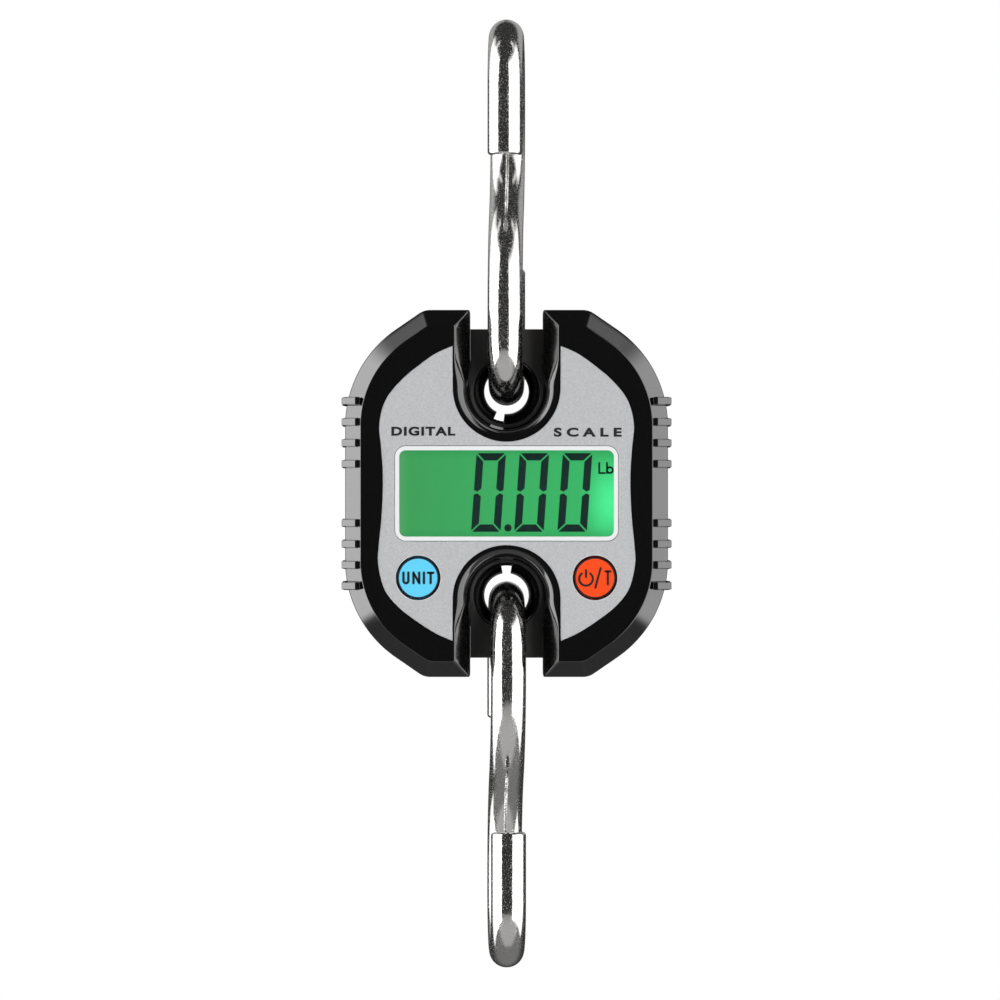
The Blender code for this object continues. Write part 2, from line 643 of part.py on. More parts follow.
def bush(name, up, turn, frame):
    """A split ring with a crowned bore and a collar, its slot towards the middle of the case."""
    crown_steps = 6
    section = []
    for i in range(crown_steps + 1):
        y = BUSH_HALF_WIDTH * (1 - 2 * i / crown_steps)
        section.append((BUSH_BORE + BUSH_CROWN - math.sqrt(BUSH_CROWN**2 - y**2), y))
    collar = CELL_HALF_DEPTH - CLEAR
    section += [
        (BUSH_NECK, -BUSH_HALF_WIDTH),
        (BUSH_NECK, -collar),
        (BUSH_COLLAR, -collar),
        (BUSH_COLLAR, collar),
        (BUSH_NECK, collar),
        (BUSH_NECK, BUSH_HALF_WIDTH),
    ]
    steps = 22
    middle = -up * math.pi / 2 + turn
    loops = []
    for i in range(steps + 1):
        angle = middle + BUSH_SLOT / 2 + (2 * math.pi - BUSH_SLOT) * i / steps
        loops.append([(r * math.cos(angle), y, r * math.sin(angle)) for r, y in section])
    solid(name, [loops], BLACK_PLASTIC, frame, (0, 0, up * EYE_OFFSET))


def hook_line():
    """The hook's centre line as (y, z), from the near tip to the far tip, about its near bend's centre.

    Two half-circle bends are joined by a shaft that crosses from the front of one to the back of the
    other. It runs straight for a little, and then along two wide arcs that meet half-way. Each bend ends in
    a short straight tip.
    """
    half_span = (FAR_BEND_CENTRE - BEND_CENTRE) / 2
    rise = half_span - SHAFT_STRAIGHT
    lean = 2 * math.atan(BEND_RADIUS / rise)
    radius = rise / math.sin(lean)
    near = [(BEND_RADIUS, TIP_STRAIGHT), (BEND_RADIUS, TIP_STRAIGHT - TIP_CHAMFER)]
    near += arc((0, 0), BEND_RADIUS, 0, -math.pi, 12)
    near += arc((radius - BEND_RADIUS, SHAFT_STRAIGHT), radius, math.pi, math.pi - lean, 5)[:-1]
    return near + [(0, half_span)] + [(-y, 2 * half_span - z) for y, z in reversed(near)]


def hook(name, frame, up):
    """Round bar carried along the hook's line, with its two ends chamfered."""
    line = hook_line()
    loops = []
    for i, (y, z) in enumerate(line):
        before, after = line[max(0, i - 1)], line[min(len(line) - 1, i + 1)]
        along = (after[0] - before[0], after[1] - before[1])
        length = math.hypot(*along)
        across = (along[1] / length, -along[0] / length)
        radius = BAR_RADIUS - (TIP_CHAMFER if i in (0, len(line) - 1) else 0)
        ring = circle((0, 0), radius, HOOK_SIDES)
        loops.append([(a, y + b * across[0], up * (z + b * across[1])) for a, b in ring])
    solid(name, [loops], STEEL, frame)


# ---------------------------------------------------------------- batteries, contacts, leads and screws


def battery(name, up, frame):
    """A cell lying along X. Its nub points right on the upper one and left on the lower one."""
    nub_end = BAY_HALF[0] - CONTACT_INSET - CONTACT_THICKNESS - 0.2 * MM
    edge = 0.4 * MM
    profile = (
        (BATTERY_RADIUS - edge, nub_end - BATTERY_NUB - BATTERY_LENGTH),
        (BATTERY_RADIUS, nub_end - BATTERY_NUB - BATTERY_LENGTH + edge),
        (BATTERY_RADIUS, nub_end - BATTERY_NUB - edge),
        (BATTERY_RADIUS - edge, nub_end - BATTERY_NUB),
        (1.9 * MM, nub_end - BATTERY_NUB),
        (1.9 * MM, nub_end),
    )
    loops = [along_x(circle((0, 0), radius, 16), up * x) for radius, x in profile]
    solid(name, [loops], BATTERY_SKIN, frame, (0, BATTERY_DEPTH, up * BATTERY_OFFSET))


def battery_spring(name, side, frame):
    """A conical wire spring behind a cell's flat end, on the left if side is -1."""
    turns, per_turn, wire = 3, 10, 0.35 * MM
    plate = BAY_HALF[0] - CONTACT_INSET - CONTACT_THICKNESS - wire - CLEAR
    cell_end = BAY_HALF[0] - CONTACT_INSET - CONTACT_THICKNESS - 0.2 * MM - BATTERY_NUB - BATTERY_LENGTH
    end = -cell_end + wire + CLEAR
    loops = []
    for i in range(turns * per_turn + 1):
        share = i / (turns * per_turn)
        angle = 2 * math.pi * turns * share
        radius = (3.8 - 1.8 * share) * MM
        x = side * (plate + (end - plate) * share)
        ring = circle((radius, 0), wire, 5)
        loops.append([(x + b, a * math.cos(angle), a * math.sin(angle)) for a, b in ring])
    solid(name, [loops], STEEL, frame, (0, BATTERY_DEPTH, -side * BATTERY_OFFSET))


def contacts(frame):
    """The plate that bridges both cells on the left, and the two end plates on the right."""
    inner = BAY_HALF[0] - CONTACT_INSET
    low, high = BAY_FLOOR + 0.4 * MM, 12.2 * MM
    thick = CONTACT_THICKNESS

    def plate(x_from, x_to, z_from, z_to, front=low, back=high):
        return [along_x(rectangle((front, z_from), (back, z_to)), x) for x in (x_from, x_to)]

    solid("bridge_contact", [plate(-inner, -inner + thick, -10.8 * MM, 10.8 * MM)], ZINC, frame)
    solid("positive_contact", [plate(inner - thick, inner, 1.2 * MM, 10.8 * MM)], ZINC, frame)
    solid("negative_contact", [plate(inner - thick, inner, -10.8 * MM, -1.2 * MM)], ZINC, frame)


def lead(name, points, radius, spec, frame):
    """A wire as a bevelled curve with filled caps."""
    data = bpy.data.curves.new(name, "CURVE")
    data.dimensions = "3D"
    spline = data.splines.new("POLY")
    spline.points.add(len(points) - 1)
    for made, point in zip(spline.points, points):
        made.co = (*point, 1)
    data.bevel_depth = radius
    data.bevel_resolution = 2
    data.use_fill_caps = True
    data.materials.append(material(spec))
    made = bpy.data.objects.new(name, data)
    bpy.context.scene.collection.objects.link(made)
    made.parent = frame


def round_corner_path(corners, steps=5):
    """A curve that starts and ends at the first and last corner and rounds the others."""
    path = [corners[0]]
    for before, corner, after in zip(corners, corners[1:], corners[2:]):
        start = [(a + b) / 2 for a, b in zip(before, corner)]
        end = [(a + b) / 2 for a, b in zip(corner, after)]
        for i in range(steps + 1):
            t = i / steps
            path.append(tuple((1 - t) ** 2 * s + 2 * t * (1 - t) * c + t**2 * e for s, c, e in zip(start, corner, end)))
    return path + [corners[-1]]


def wiring(frame):
    """The two battery leads and the four gauge leads, each along its own route."""
    out = BAY_HALF[0] + BAY_WALL
    board_back = -BOARD[1] + 0.25 * MM
    for name, up, spec in (("positive_lead", 1, RED_WIRE), ("negative_lead", -1, BLACK_WIRE)):
        z = up * 6.0 * MM
        end = (out + 1.2 * MM, board_back, z)
        route = round_corner_path([(out + 0.3 * MM, 7.0 * MM, z), (out + 3.4 * MM, 6.0 * MM, z), end])
        lead(name, route, 0.55 * MM, spec, frame)
    depth = -CELL_HALF_DEPTH - 0.6 * MM
    for side, word in ((-1, "left"), (1, "right")):
        for up, place in ((1, "upper"), (-1, "lower")):
            start = (side * (GAUGE_PLACE[0] + GAUGE_HALF[0] + 0.4 * MM), depth, up * GAUGE_PLACE[1])
            end = (side * 14.4 * MM, depth - 0.1 * MM, up * GAUGE_PLACE[1])
            middle = ((start[0] + end[0]) / 2, depth, up * 3.1 * MM)
            lead(f"{place}_{word}_gauge_lead", round_corner_path([start, middle, end], 4), 0.2 * MM, RED_WIRE, frame)


def battery_door(frame):
    """The rear door, on a frame at its lower outer edge, where it swings. A slit tongue holds it shut."""
    hinge = empty("door_hinge", (0, DOOR_BACK, -DOOR_HALF[1]), frame)
    x, height = DOOR_HALF[0], 2 * DOOR_HALF[1]
    thick = DOOR_BACK - DOOR_FRONT
    made = solid("battery_door", [slab(rectangle((-x, 0), (x, height)), -thick, 0)], BLACK_PLASTIC, hinge)
    for i, side in enumerate((-1, 1)):
        low = (side * TAB_CENTRE - TAB_HALF, -1.1 * MM)
        high = (side * TAB_CENTRE + TAB_HALF, 1.6 * MM)
        tab = slab(rectangle(low, high), -thick - 1.3 * MM, -thick - 0.2 * MM)
        root = slab(rectangle((low[0], 0.6 * MM), high), -thick - 0.8 * MM, -thick + 0.5 * MM)
        combine(made, cutter(f"battery_door_tab_{i}", [tab], hinge), "UNION")
        combine(made, cutter(f"battery_door_root_{i}", [root], hinge), "UNION")
    slits = []
    for side in (-1, 1):
        slit = rectangle((side * 4.6 * MM - 0.35 * MM, height - 6 * MM), (side * 4.6 * MM + 0.35 * MM, height + BEYOND))
        slits.append(slab(slit, -thick - BEYOND, BEYOND))
    combine(made, cutter("battery_door_slits", slits, hinge))


def case_screws(frame):
    """Four screws driven from the rear, deep in their counterbores."""
    head = HEAD_SEAT + CLEAR
    profile = (
        (1.6 * MM, 1.7 * MM),
        (2.4 * MM, 1.1 * MM),
        (2.5 * MM, 0),
        (1.0 * MM, 0),
        (1.0 * MM, -16 * MM),
        (0.4 * MM, -16.8 * MM),
    )
    x, z = CASE_SCREW
    places = [(i * x, head, j * z) for i in (-1, 1) for j in (-1, 1)]
    repeated("case_screw", turned(profile, (0, 0), 14), ZINC, frame, places)


def build():
    """Everything, on empties that stand on the joints' axes."""
    case = empty("case_frame", (0, 0, -HANG_HEIGHT))
    upper = empty("upper_bend", (0, 0, BEND_CENTRE), case, UPPER_HOOK_TWIST)
    lower = empty("lower_bend", (0, 0, -BEND_CENTRE), case, LOWER_HOOK_TWIST)
    front_shell(case)
    rear_shell(case)
    face_plate(case)
    display_stack(case)
    key("unit", -1, BLUE_KEY, case)
    key("power", 1, ORANGE_KEY, case)
    circuit_board(case)
    load_cell(case)
    bush("upper_bush", 1, -UPPER_BUSH_TURN, case)
    bush("lower_bush", -1, 0.0, case)
    hook("upper_hook", upper, 1)
    hook("lower_hook", lower, -1)
    battery("upper_battery", 1, case)
    battery("lower_battery", -1, case)
    battery_spring("upper_spring", -1, case)
    battery_spring("lower_spring", 1, case)
    contacts(case)
    wiring(case)
    battery_door(case)
    case_screws(case)


for leftover in list(bpy.data.objects):
    bpy.data.objects.remove(leftover, do_unlink=True)
build()
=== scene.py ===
"""The looks of a hanging crane scale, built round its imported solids.

Shapes are worked out in millimetres from the middle of the case, with -Y at the display's side, and a
Datum puts them in the row's frame. A plane shape is an array of (across, up) pairs.
"""

import logging
import math
from collections.abc import Iterable, Mapping, Sequence
from dataclasses import dataclass, field
from enum import IntEnum

import bmesh
import bpy
import numpy as np
import numpy.typing as npt
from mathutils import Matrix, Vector
from mathutils.geometry import delaunay_2d_cdt


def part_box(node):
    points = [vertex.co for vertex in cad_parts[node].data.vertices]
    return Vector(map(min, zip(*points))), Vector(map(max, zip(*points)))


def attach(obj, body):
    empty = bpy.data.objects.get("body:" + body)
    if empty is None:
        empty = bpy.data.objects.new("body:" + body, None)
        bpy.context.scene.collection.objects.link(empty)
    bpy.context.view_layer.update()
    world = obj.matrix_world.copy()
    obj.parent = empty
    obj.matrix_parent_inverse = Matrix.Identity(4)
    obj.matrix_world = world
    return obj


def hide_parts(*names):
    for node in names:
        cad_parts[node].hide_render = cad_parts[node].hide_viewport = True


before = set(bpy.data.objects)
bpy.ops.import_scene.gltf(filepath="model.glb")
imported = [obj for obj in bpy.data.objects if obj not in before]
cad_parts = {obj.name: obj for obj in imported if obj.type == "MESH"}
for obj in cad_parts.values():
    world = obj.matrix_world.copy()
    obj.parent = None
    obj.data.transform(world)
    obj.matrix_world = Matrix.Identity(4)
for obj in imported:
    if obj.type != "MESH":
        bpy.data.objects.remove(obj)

Array = npt.NDArray[np.float64]
Colour = tuple[float, float, float]
LOG = logging.getLogger("crane_scale")
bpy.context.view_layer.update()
MM = 0.001
MIX_SHARE, MIX_FIRST, MIX_SECOND, MIX_RESULT = 0, 6, 7, 2  # a colour Mix node's sockets


class Face(IntEnum):
    """The side of the case that a shell closes."""

    FRONT = -1
    REAR = 1


class End(IntEnum):
    """The end of the case that a hook hangs from."""

    UPPER = 1
    LOWER = -1


class Side(IntEnum):
    """Left or right of the display."""

    LEFT = -1
    RIGHT = 1


# ------------------------------------------------------------------ shader maths


@dataclass(frozen=True, eq=False)
class Signal:
    """An output socket that takes part in arithmetic on values."""

    graph: "Graph"
    socket: bpy.types.NodeSocket | None

    def _math(self, operation: str, *terms: "Signal | float") -> "Signal":
        """A Math node on the given terms, in order."""
        return self.graph.node("ShaderNodeMath", {"operation": operation}, dict(enumerate(terms)))

    def __add__(self, other: "Signal | float") -> "Signal":
        """self + other."""
        return self._math("ADD", self, other)

    def __radd__(self, other: float) -> "Signal":
        """other + self."""
        return self._math("ADD", other, self)

    def __sub__(self, other: "Signal | float") -> "Signal":
        """self - other."""
        return self._math("SUBTRACT", self, other)

    def __rsub__(self, other: float) -> "Signal":
        """other - self."""
        return self._math("SUBTRACT", other, self)

    def __mul__(self, other: "Signal | float") -> "Signal":
        """self * other."""
        return self._math("MULTIPLY", self, other)

    def __rmul__(self, other: float) -> "Signal":
        """other * self."""
        return self._math("MULTIPLY", other, self)

    def __neg__(self) -> "Signal":
        """-self."""
        return self._math("MULTIPLY", self, -1.0)

    def __abs__(self) -> "Signal":
        """The size of self, without its sign."""
        return self._math("ABSOLUTE", self)

    def __pow__(self, other: float) -> "Signal":
        """self to a fixed power."""
        return self._math("POWER", self, other)

    def heading(self, ahead: "Signal") -> "Signal":
        """The angle whose tangent is self over ahead."""
        return self._math("ARCTAN2", self, ahead)

    def ease(self, low: float, high: float, to: tuple[float, float] = (0.0, 1.0)) -> "Signal":
        """A smooth step, from to[0] where self is low to to[1] where it is high."""
        values = {"Value": self, "From Min": low, "From Max": high, "To Min": to[0], "To Max": to[1]}
        return self.graph.node("ShaderNodeMapRange", {"interpolation_type": "SMOOTHSTEP"}, values)

    def within(self, low: float, high: float, soft: float) -> "Signal":
        """One between low and high, zero outside, with edges of width soft."""
        return self.ease(low - soft / 2, low + soft / 2) * self.ease(high - soft / 2, high + soft / 2, (1.0, 0.0))


class Graph:
    """A node tree that is written as expressions."""

    def __init__(self, tree: bpy.types.NodeTree) -> None:
        """Empties the tree."""
        self.tree = tree
        tree.nodes.clear()

    def node(
        self,
        kind: str,
        settings: Mapping[str, object] | None = None,
        values: Mapping[str | int, object] | None = None,
        output: str | int = 0,
    ) -> Signal:
        """Adds one node.

        Args:
            kind: the node's type.
            settings: properties, set first.
            values: what its sockets hold or are linked to.
            output: which socket to hand back.

        Returns:
            The chosen output.
        """
        made = self.tree.nodes.new(kind)
        for name, value in (settings or {}).items():
            setattr(made, name, value)
        for name, value in (values or {}).items():
            socket = made.inputs[name]
            if isinstance(value, Signal):
                self.tree.links.new(value.socket, socket)
            elif isinstance(value, tuple) and socket.type == "RGBA":
                socket.default_value = (*value[:3], 1.0)
            else:
                socket.default_value = value
        return Signal(self, made.outputs[output] if made.outputs else None)

    def place(self) -> Signal:
        """Object coordinates, in metres."""
        return self.node("ShaderNodeTexCoord", output="Object")

    def attribute(self, name: str) -> Signal:
        """A piece's own attribute, as a vector."""
        return self.node("ShaderNodeAttribute", {"attribute_name": name}, output="Vector")

    def scaled(self, vector: Signal, by: Colour) -> Signal:
        """A vector with each axis stretched."""
        return self.node("ShaderNodeVectorMath", {"operation": "MULTIPLY"}, {0: vector, 1: by})

    def split(self, vector: Signal) -> tuple[Signal, Signal, Signal]:
        """A vector's three parts."""
        made = self.node("ShaderNodeSeparateXYZ", values={0: vector}).socket.node
        return tuple(Signal(self, made.outputs[i]) for i in range(3))

    def noise(self, vector: Signal, size: float, detail: float = 3.0, rough: float = 0.5) -> Signal:
        """Noise from 0 to 1 whose lumps are about size metres."""
        values = {"Vector": vector, "Scale": 1.0 / size, "Detail": detail, "Roughness": rough}
        return self.node("ShaderNodeTexNoise", values=values, output="Fac")

    def flakes(self, vector: Signal, size: float) -> Signal:
        """A flat random value for each grain of about size metres."""
        colour = self.node("ShaderNodeTexVoronoi", values={"Vector": vector, "Scale": 1.0 / size}, output="Color")
        return self.split(colour)[0]

    def mix(self, share: Signal | float, first: Signal | Colour, second: Signal | Colour) -> Signal:
        """A colour between two."""
        values = {MIX_SHARE: share, MIX_FIRST: first, MIX_SECOND: second}
        return self.node("ShaderNodeMix", {"data_type": "RGBA"}, values, MIX_RESULT)

    def bump(self, height: Signal, depth: float, strength: float = 1.0) -> Signal:
        """A normal from a height of 0 to 1 that is depth metres deep."""
        return self.node("ShaderNodeBump", values={"Height": height, "Distance": depth, "Strength": strength})

    def surface(self, values: Mapping[str, object]) -> None:
        """Ends a material's tree in a Principled BSDF."""
        shader = self.node("ShaderNodeBsdfPrincipled", values=values)
        self.node("ShaderNodeOutputMaterial", values={"Surface": shader})


# ------------------------------------------------------------------ finishes


def shade(colour: Colour, by: float) -> Colour:
    """A colour made darker or lighter."""
    return tuple(part * by for part in colour)


@dataclass(frozen=True)
class Finish:
    """A surface finish. It makes its material once."""

    name: str
    slot: str

    def material(self) -> bpy.types.Material:
        """This finish's material."""
        made = bpy.data.materials.get(self.name)
        if made is None:
            made = bpy.data.materials.new(self.name)
            made.use_nodes = True
            self.dress(Graph(made.node_tree))
        return made

    def dress(self, graph: Graph) -> None:
        """Fills the material's tree."""
        raise NotImplementedError


@dataclass(frozen=True)
class GlossMoulding(Finish):
    """Polished black moulding: a clear skin over carbon black, with sink marks and faint handling haze."""

    base: Colour = (0.0022, 0.0021, 0.0021)
    rough: float = 0.1
    grained_floor: float = 0.0

    def dress(self, graph: Graph) -> None:
        """Haze varies the roughness, and long soft waves bend the reflections. The notches' floors, near the
        parting line and between the notch walls, can be grained."""
        at = graph.place()
        x, y, _ = graph.split(at)
        deep = abs(y).ease(0.0061, 0.0064, (self.grained_floor, 0.0))
        floor = deep * abs(x).ease(0.009, 0.0094, (1.0, 0.0))
        haze = graph.noise(at, 0.009, 4.0, 0.6)
        dust = graph.noise(at, 0.0004, 2.0).ease(0.66, 0.8)
        waves = graph.noise(at, 0.012, 1.0) * 0.8 + graph.noise(at, 0.0015, 2.0) * 0.06
        skin = graph.mix(dust, self.base, shade(self.base, 2.4))
        graph.surface(
            {
                "Base Color": graph.mix(floor, skin, (0.03, 0.028, 0.027)),
                "Roughness": haze * 0.08 + dust * 0.06 + floor * 0.35 + self.rough,
                "IOR": 1.56,
                "Coat Weight": 0.75 - floor * 0.55,
                "Coat Roughness": 0.05,
                "Normal": graph.bump(waves, 0.00006, 0.7),
            }
        )


@dataclass(frozen=True)
class FlakePrint(Finish):
    """Silver ink on film: fine aluminium flakes that catch the light one by one."""

    dark: Colour = (0.475, 0.48, 0.492)
    light: Colour = (0.755, 0.765, 0.78)

    def dress(self, graph: Graph) -> None:
        """Grains of two sizes set the colour, and each flake lies at its own tilt."""
        at = graph.place()
        grain = graph.flakes(at, 0.00016)
        mottle = graph.noise(at, 0.0006, 3.0, 0.65)
        share = grain * 0.4 + mottle * 0.75 - 0.1
        graph.surface(
            {
                "Base Color": graph.mix(share, self.dark, self.light),
                "Metallic": 0.25,
                "Roughness": 0.46 - grain * 0.12,
                "Coat Weight": 0.12,
                "Coat Roughness": 0.25,
                "Normal": graph.bump(grain * 0.6 + mottle * 0.4, 0.00002, 0.5),
            }
        )


@dataclass(frozen=True)
class BarSteel(Finish):
    """Bright stainless bar, tumbled after bending: drawn lines along it under a fine sparkle of pits."""

    tint: Colour = (0.74, 0.73, 0.715)

    def dress(self, graph: Graph) -> None:
        """Lines follow the bar's own length, and pits lie all over it."""
        along = graph.attribute("bar")
        lines = graph.noise(graph.scaled(along, (0.02, 1.0, 1.0)), 0.0005, 3.0, 0.6)
        pits = graph.noise(along, 0.00026, 1.0, 0.5)
        stain = graph.noise(graph.scaled(along, (0.35, 1.0, 1.0)), 0.006, 3.0)
        speck = pits.ease(0.56, 0.68)
        graph.surface(
            {
                "Base Color": graph.mix(stain, shade(self.tint, 0.86), self.tint),
                "Metallic": 1.0,
                "Roughness": speck * 0.3 + lines * 0.06 + 0.07,
                "Normal": graph.bump(pits * 0.8 + lines * 0.2, 0.00003, 0.42),
            }
        )


@dataclass(frozen=True)
class KeyCap(Finish):
    """A soft matt key of one colour."""

    colour: Colour

    def dress(self, graph: Graph) -> None:
        """A faint mottle and a fine skin."""
        at = graph.place()
        skin = graph.noise(at, 0.00025, 3.0, 0.6)
        graph.surface(
            {
                "Base Color": graph.mix(graph.noise(at, 0.002), shade(self.colour, 0.94), self.colour),
                "Roughness": skin * 0.12 + 0.5,
                "Specular IOR Level": 0.3,
                "Normal": graph.bump(skin, 0.00001, 0.4),
            }
        )


@dataclass(frozen=True)
class Ink(Finish):
    """Screen-printed ink."""

    colour: Colour
    rough: float = 0.45
    specular: float = 0.5

    def dress(self, graph: Graph) -> None:
        """The mesh of the screen shows as a slight unevenness."""
        weave = graph.noise(graph.place(), 0.0002, 2.0)
        graph.surface(
            {
                "Base Color": graph.mix(weave, shade(self.colour, 0.96), self.colour),
                "Roughness": weave * 0.1 + self.rough,
                "Specular IOR Level": self.specular,
            }
        )


@dataclass(frozen=True)
class LitCrystal(Finish):
    """Liquid crystal glass lit from the right edge: green, brightest beside its lamp."""

    lamp: Colour = (26.0, 0.0, -2.0)

    def dress(self, graph: Graph) -> None:
        """Light falls off from the lamp, the upper and lower edges are dimmer, and the far end looks greyer."""
        at = graph.place()
        height = (CASE_DATUM.height / MM + self.lamp[2]) * MM
        x, _, z = graph.split(at)
        across = x - self.lamp[0] * MM
        up = (z - height) * 0.62
        distance = (across * across + up * up) ** 0.5
        glow = distance.ease(0.0, 0.0085, (1.0, 0.0))
        reach = x.ease(-0.03, 0.024)
        edge = abs(z - CASE_DATUM.height).ease(0.0082, 0.0112)
        left = x.ease(-0.0272, -0.0238, (1.0, 0.0))
        body = graph.mix(reach, (0.055, 0.388, 0.112), (0.046, 0.52, 0.15))
        hot = graph.mix(glow, body, (0.085, 1.0, 0.35))
        dim = graph.mix(edge * 0.4, hot, (0.03, 0.3, 0.09))
        washed = graph.mix(left * 0.45, dim, (0.16, 0.42, 0.19))
        grain = graph.noise(at, 0.0012, 2.0)
        graph.surface(
            {
                "Base Color": (0.003, 0.008, 0.005),
                "Roughness": 0.5,
                "Specular IOR Level": 0.1,
                "Emission Color": graph.mix(grain * 0.12, washed, (0.02, 0.25, 0.07)),
                "Emission Strength": 1.0,
            }
        )


@dataclass(frozen=True)
class Window(Finish):
    """Clear acrylic with a hard polished face."""

    def dress(self, graph: Graph) -> None:
        """Mostly see-through, with a faint wave in its reflections."""
        wave = graph.noise(graph.place(), 0.01, 1.0)
        graph.surface(
            {
                "Base Color": (0.02, 0.022, 0.021),
                "Roughness": wave * 0.02 + 0.03,
                "IOR": 1.49,
                "Alpha": 0.05,
                "Normal": graph.bump(wave, 0.00002, 0.3),
            }
        )


@dataclass(frozen=True)
class Moulding(Finish):
    """A plain moulded or coated surface with a spark-eroded texture."""

    colour: Colour
    rough: float = 0.5
    metal: float = 0.0
    grain: float = 0.0006

    def dress(self, graph: Graph) -> None:
        """Fine grain in the colour, the roughness and the relief."""
        at = graph.place()
        grain = graph.noise(at, self.grain, 4.0, 0.6)
        patch = graph.noise(at, 0.007)
        graph.surface(
            {
                "Base Color": graph.mix(patch * 0.6 + grain * 0.4, shade(self.colour, 0.8), self.colour),
                "Metallic": self.metal,
                "Roughness": grain * 0.15 + self.rough,
                "Normal": graph.bump(grain, 0.00003, 0.5),
            }
        )


@dataclass(frozen=True)
class Elastomer(Finish):
    """Contact strip: conducting and insulating layers in turn along X."""

    pitch: float = 0.0004

    def dress(self, graph: Graph) -> None:
        """Stripes from a repeated step."""
        x = graph.split(graph.place())[0]
        wrapped = graph.node("ShaderNodeMath", {"operation": "PINGPONG"}, {0: x, 1: self.pitch})
        stripe = wrapped.ease(self.pitch * 0.4, self.pitch * 0.6)
        colour = graph.mix(stripe, (0.02, 0.02, 0.022), (0.5, 0.48, 0.45))
        graph.surface({"Base Color": colour, "Roughness": 0.7})


@dataclass(frozen=True)
class CellSleeve(Finish):
    """A dry cell's printed sleeve: dark blue, with a copper band round its positive end."""

    end: End = End.UPPER

    def dress(self, graph: Graph) -> None:
        """The band starts at a fixed distance along the cell."""
        at = graph.place()
        band = (graph.split(at)[0] * float(self.end)).ease(0.0118, 0.0121)
        rub = graph.noise(at, 0.003, 4.0, 0.7)
        colour = graph.mix(band, (0.012, 0.03, 0.13), (0.62, 0.3, 0.1))
        graph.surface(
            {"Base Color": colour, "Metallic": band * 0.8 + 0.1, "Roughness": rub * 0.2 + 0.2, "Coat Weight": 0.4}
        )


@dataclass(frozen=True)
class Backdrop(Finish):
    """The pale studio floor."""

    def dress(self, graph: Graph) -> None:
        """Matt, with a faint mottle. Seen directly it is as white as the sky."""
        mottle = graph.noise(graph.place(), 0.05, 2.0)
        colour = graph.mix(mottle, (0.81, 0.81, 0.81), (0.83, 0.83, 0.83))
        seen = graph.node("ShaderNodeLightPath", output="Is Camera Ray")
        glow = {"Emission Color": graph.mix(seen, (0.0, 0.0, 0.0), (1.0, 1.0, 1.0)), "Emission Strength": 1.0}
        graph.surface({"Base Color": colour, "Roughness": 0.8, **glow})


CASING = GlossMoulding("casing_gloss", "black_casing", grained_floor=1.0)
BUSH = GlossMoulding("bush_gloss", "bush_plastic", rough=0.16)
SILVER = FlakePrint("silver_flake", "silver_film")
BAR = BarSteel("tumbled_bar", "stainless_steel")
BLUE = KeyCap("key_blue", "blue_key", (0.125, 0.66, 0.96))
ORANGE = KeyCap("key_orange", "orange_key", (0.95, 0.07, 0.004))
BLACK_INK = Ink("black_ink", "black_casing", (0.006, 0.006, 0.007))
# White ink: the window's printed border, and also the painted highlight ring round each key's opening.
WHITE_INK_AND_HIGHLIGHT = Ink("white_ink_and_painted_highlight", "white_plastic", (0.84, 0.85, 0.86))
SEGMENT = Ink("segment_dark", "lcd_green", (0.008, 0.03, 0.026), 0.6, 0.1)
CRYSTAL = LitCrystal("lit_crystal", "lcd_green")
CLEAR = Window("clear_acrylic", "clear_window")
ZINC = Moulding("zinc_plating", "zinc_plate", (0.62, 0.62, 0.6), 0.22, 1.0, 0.0003)
CELL_STEEL = Moulding("milled_steel", "cell_steel", (0.46, 0.46, 0.46), 0.34, 1.0, 0.0005)
WHITE = Moulding("white_moulding", "white_plastic", (0.8, 0.81, 0.8), 0.45)
BOARD = Moulding("solder_resist", "green_board", (0.012, 0.12, 0.04), 0.32)
RESIN = Moulding("cast_resin", "chip_resin", (0.012, 0.012, 0.013), 0.35, grain=0.001)
PLUNGER = Moulding("plunger_moulding", "switch_plunger", (0.02, 0.02, 0.02), 0.5)
STRIP = Elastomer("striped_elastomer", "grey_rubber")
FOIL = Moulding("gauge_film", "gauge_foil", (0.72, 0.4, 0.1), 0.35, 0.3)
RED = Moulding("red_insulation", "red_wire", (0.55, 0.02, 0.015), 0.4)
BLACK = Moulding("black_insulation", "black_wire", (0.012, 0.012, 0.012), 0.4)
FLOOR = Backdrop("pale_floor", "floor")


# ------------------------------------------------------------------ plane shapes


def arc(centre: tuple[float, float], radius: float, start: float, end: float, steps: int) -> Array:
    """Points on a circle: the centre plus radius times the cosine and sine of even steps of angle.

    Args:
        centre: the circle's middle.
        radius: its radius.
        start: the first angle, in radians.
        end: the last angle, in radians.
        steps: how many chords.

    Returns:
        steps + 1 points.
    """
    angle = np.linspace(start, end, steps + 1)
    return np.asarray(centre) + radius * np.stack([np.cos(angle), np.sin(angle)], -1)


def circle(centre: tuple[float, float], radius: float, sides: int) -> Array:
    """A closed circle."""
    return arc(centre, radius, 0.0, math.tau, sides)[:-1]


def unit(vectors: Array) -> Array:
    """Vectors at length one."""
    return vectors / np.maximum(np.linalg.norm(vectors, axis=-1, keepdims=True), 1e-12)


def distinct(loop: Array) -> Array:
    """A closed loop without points that repeat the one before."""
    return loop[np.linalg.norm(loop - np.roll(loop, 1, axis=0), axis=1) > 1e-4]


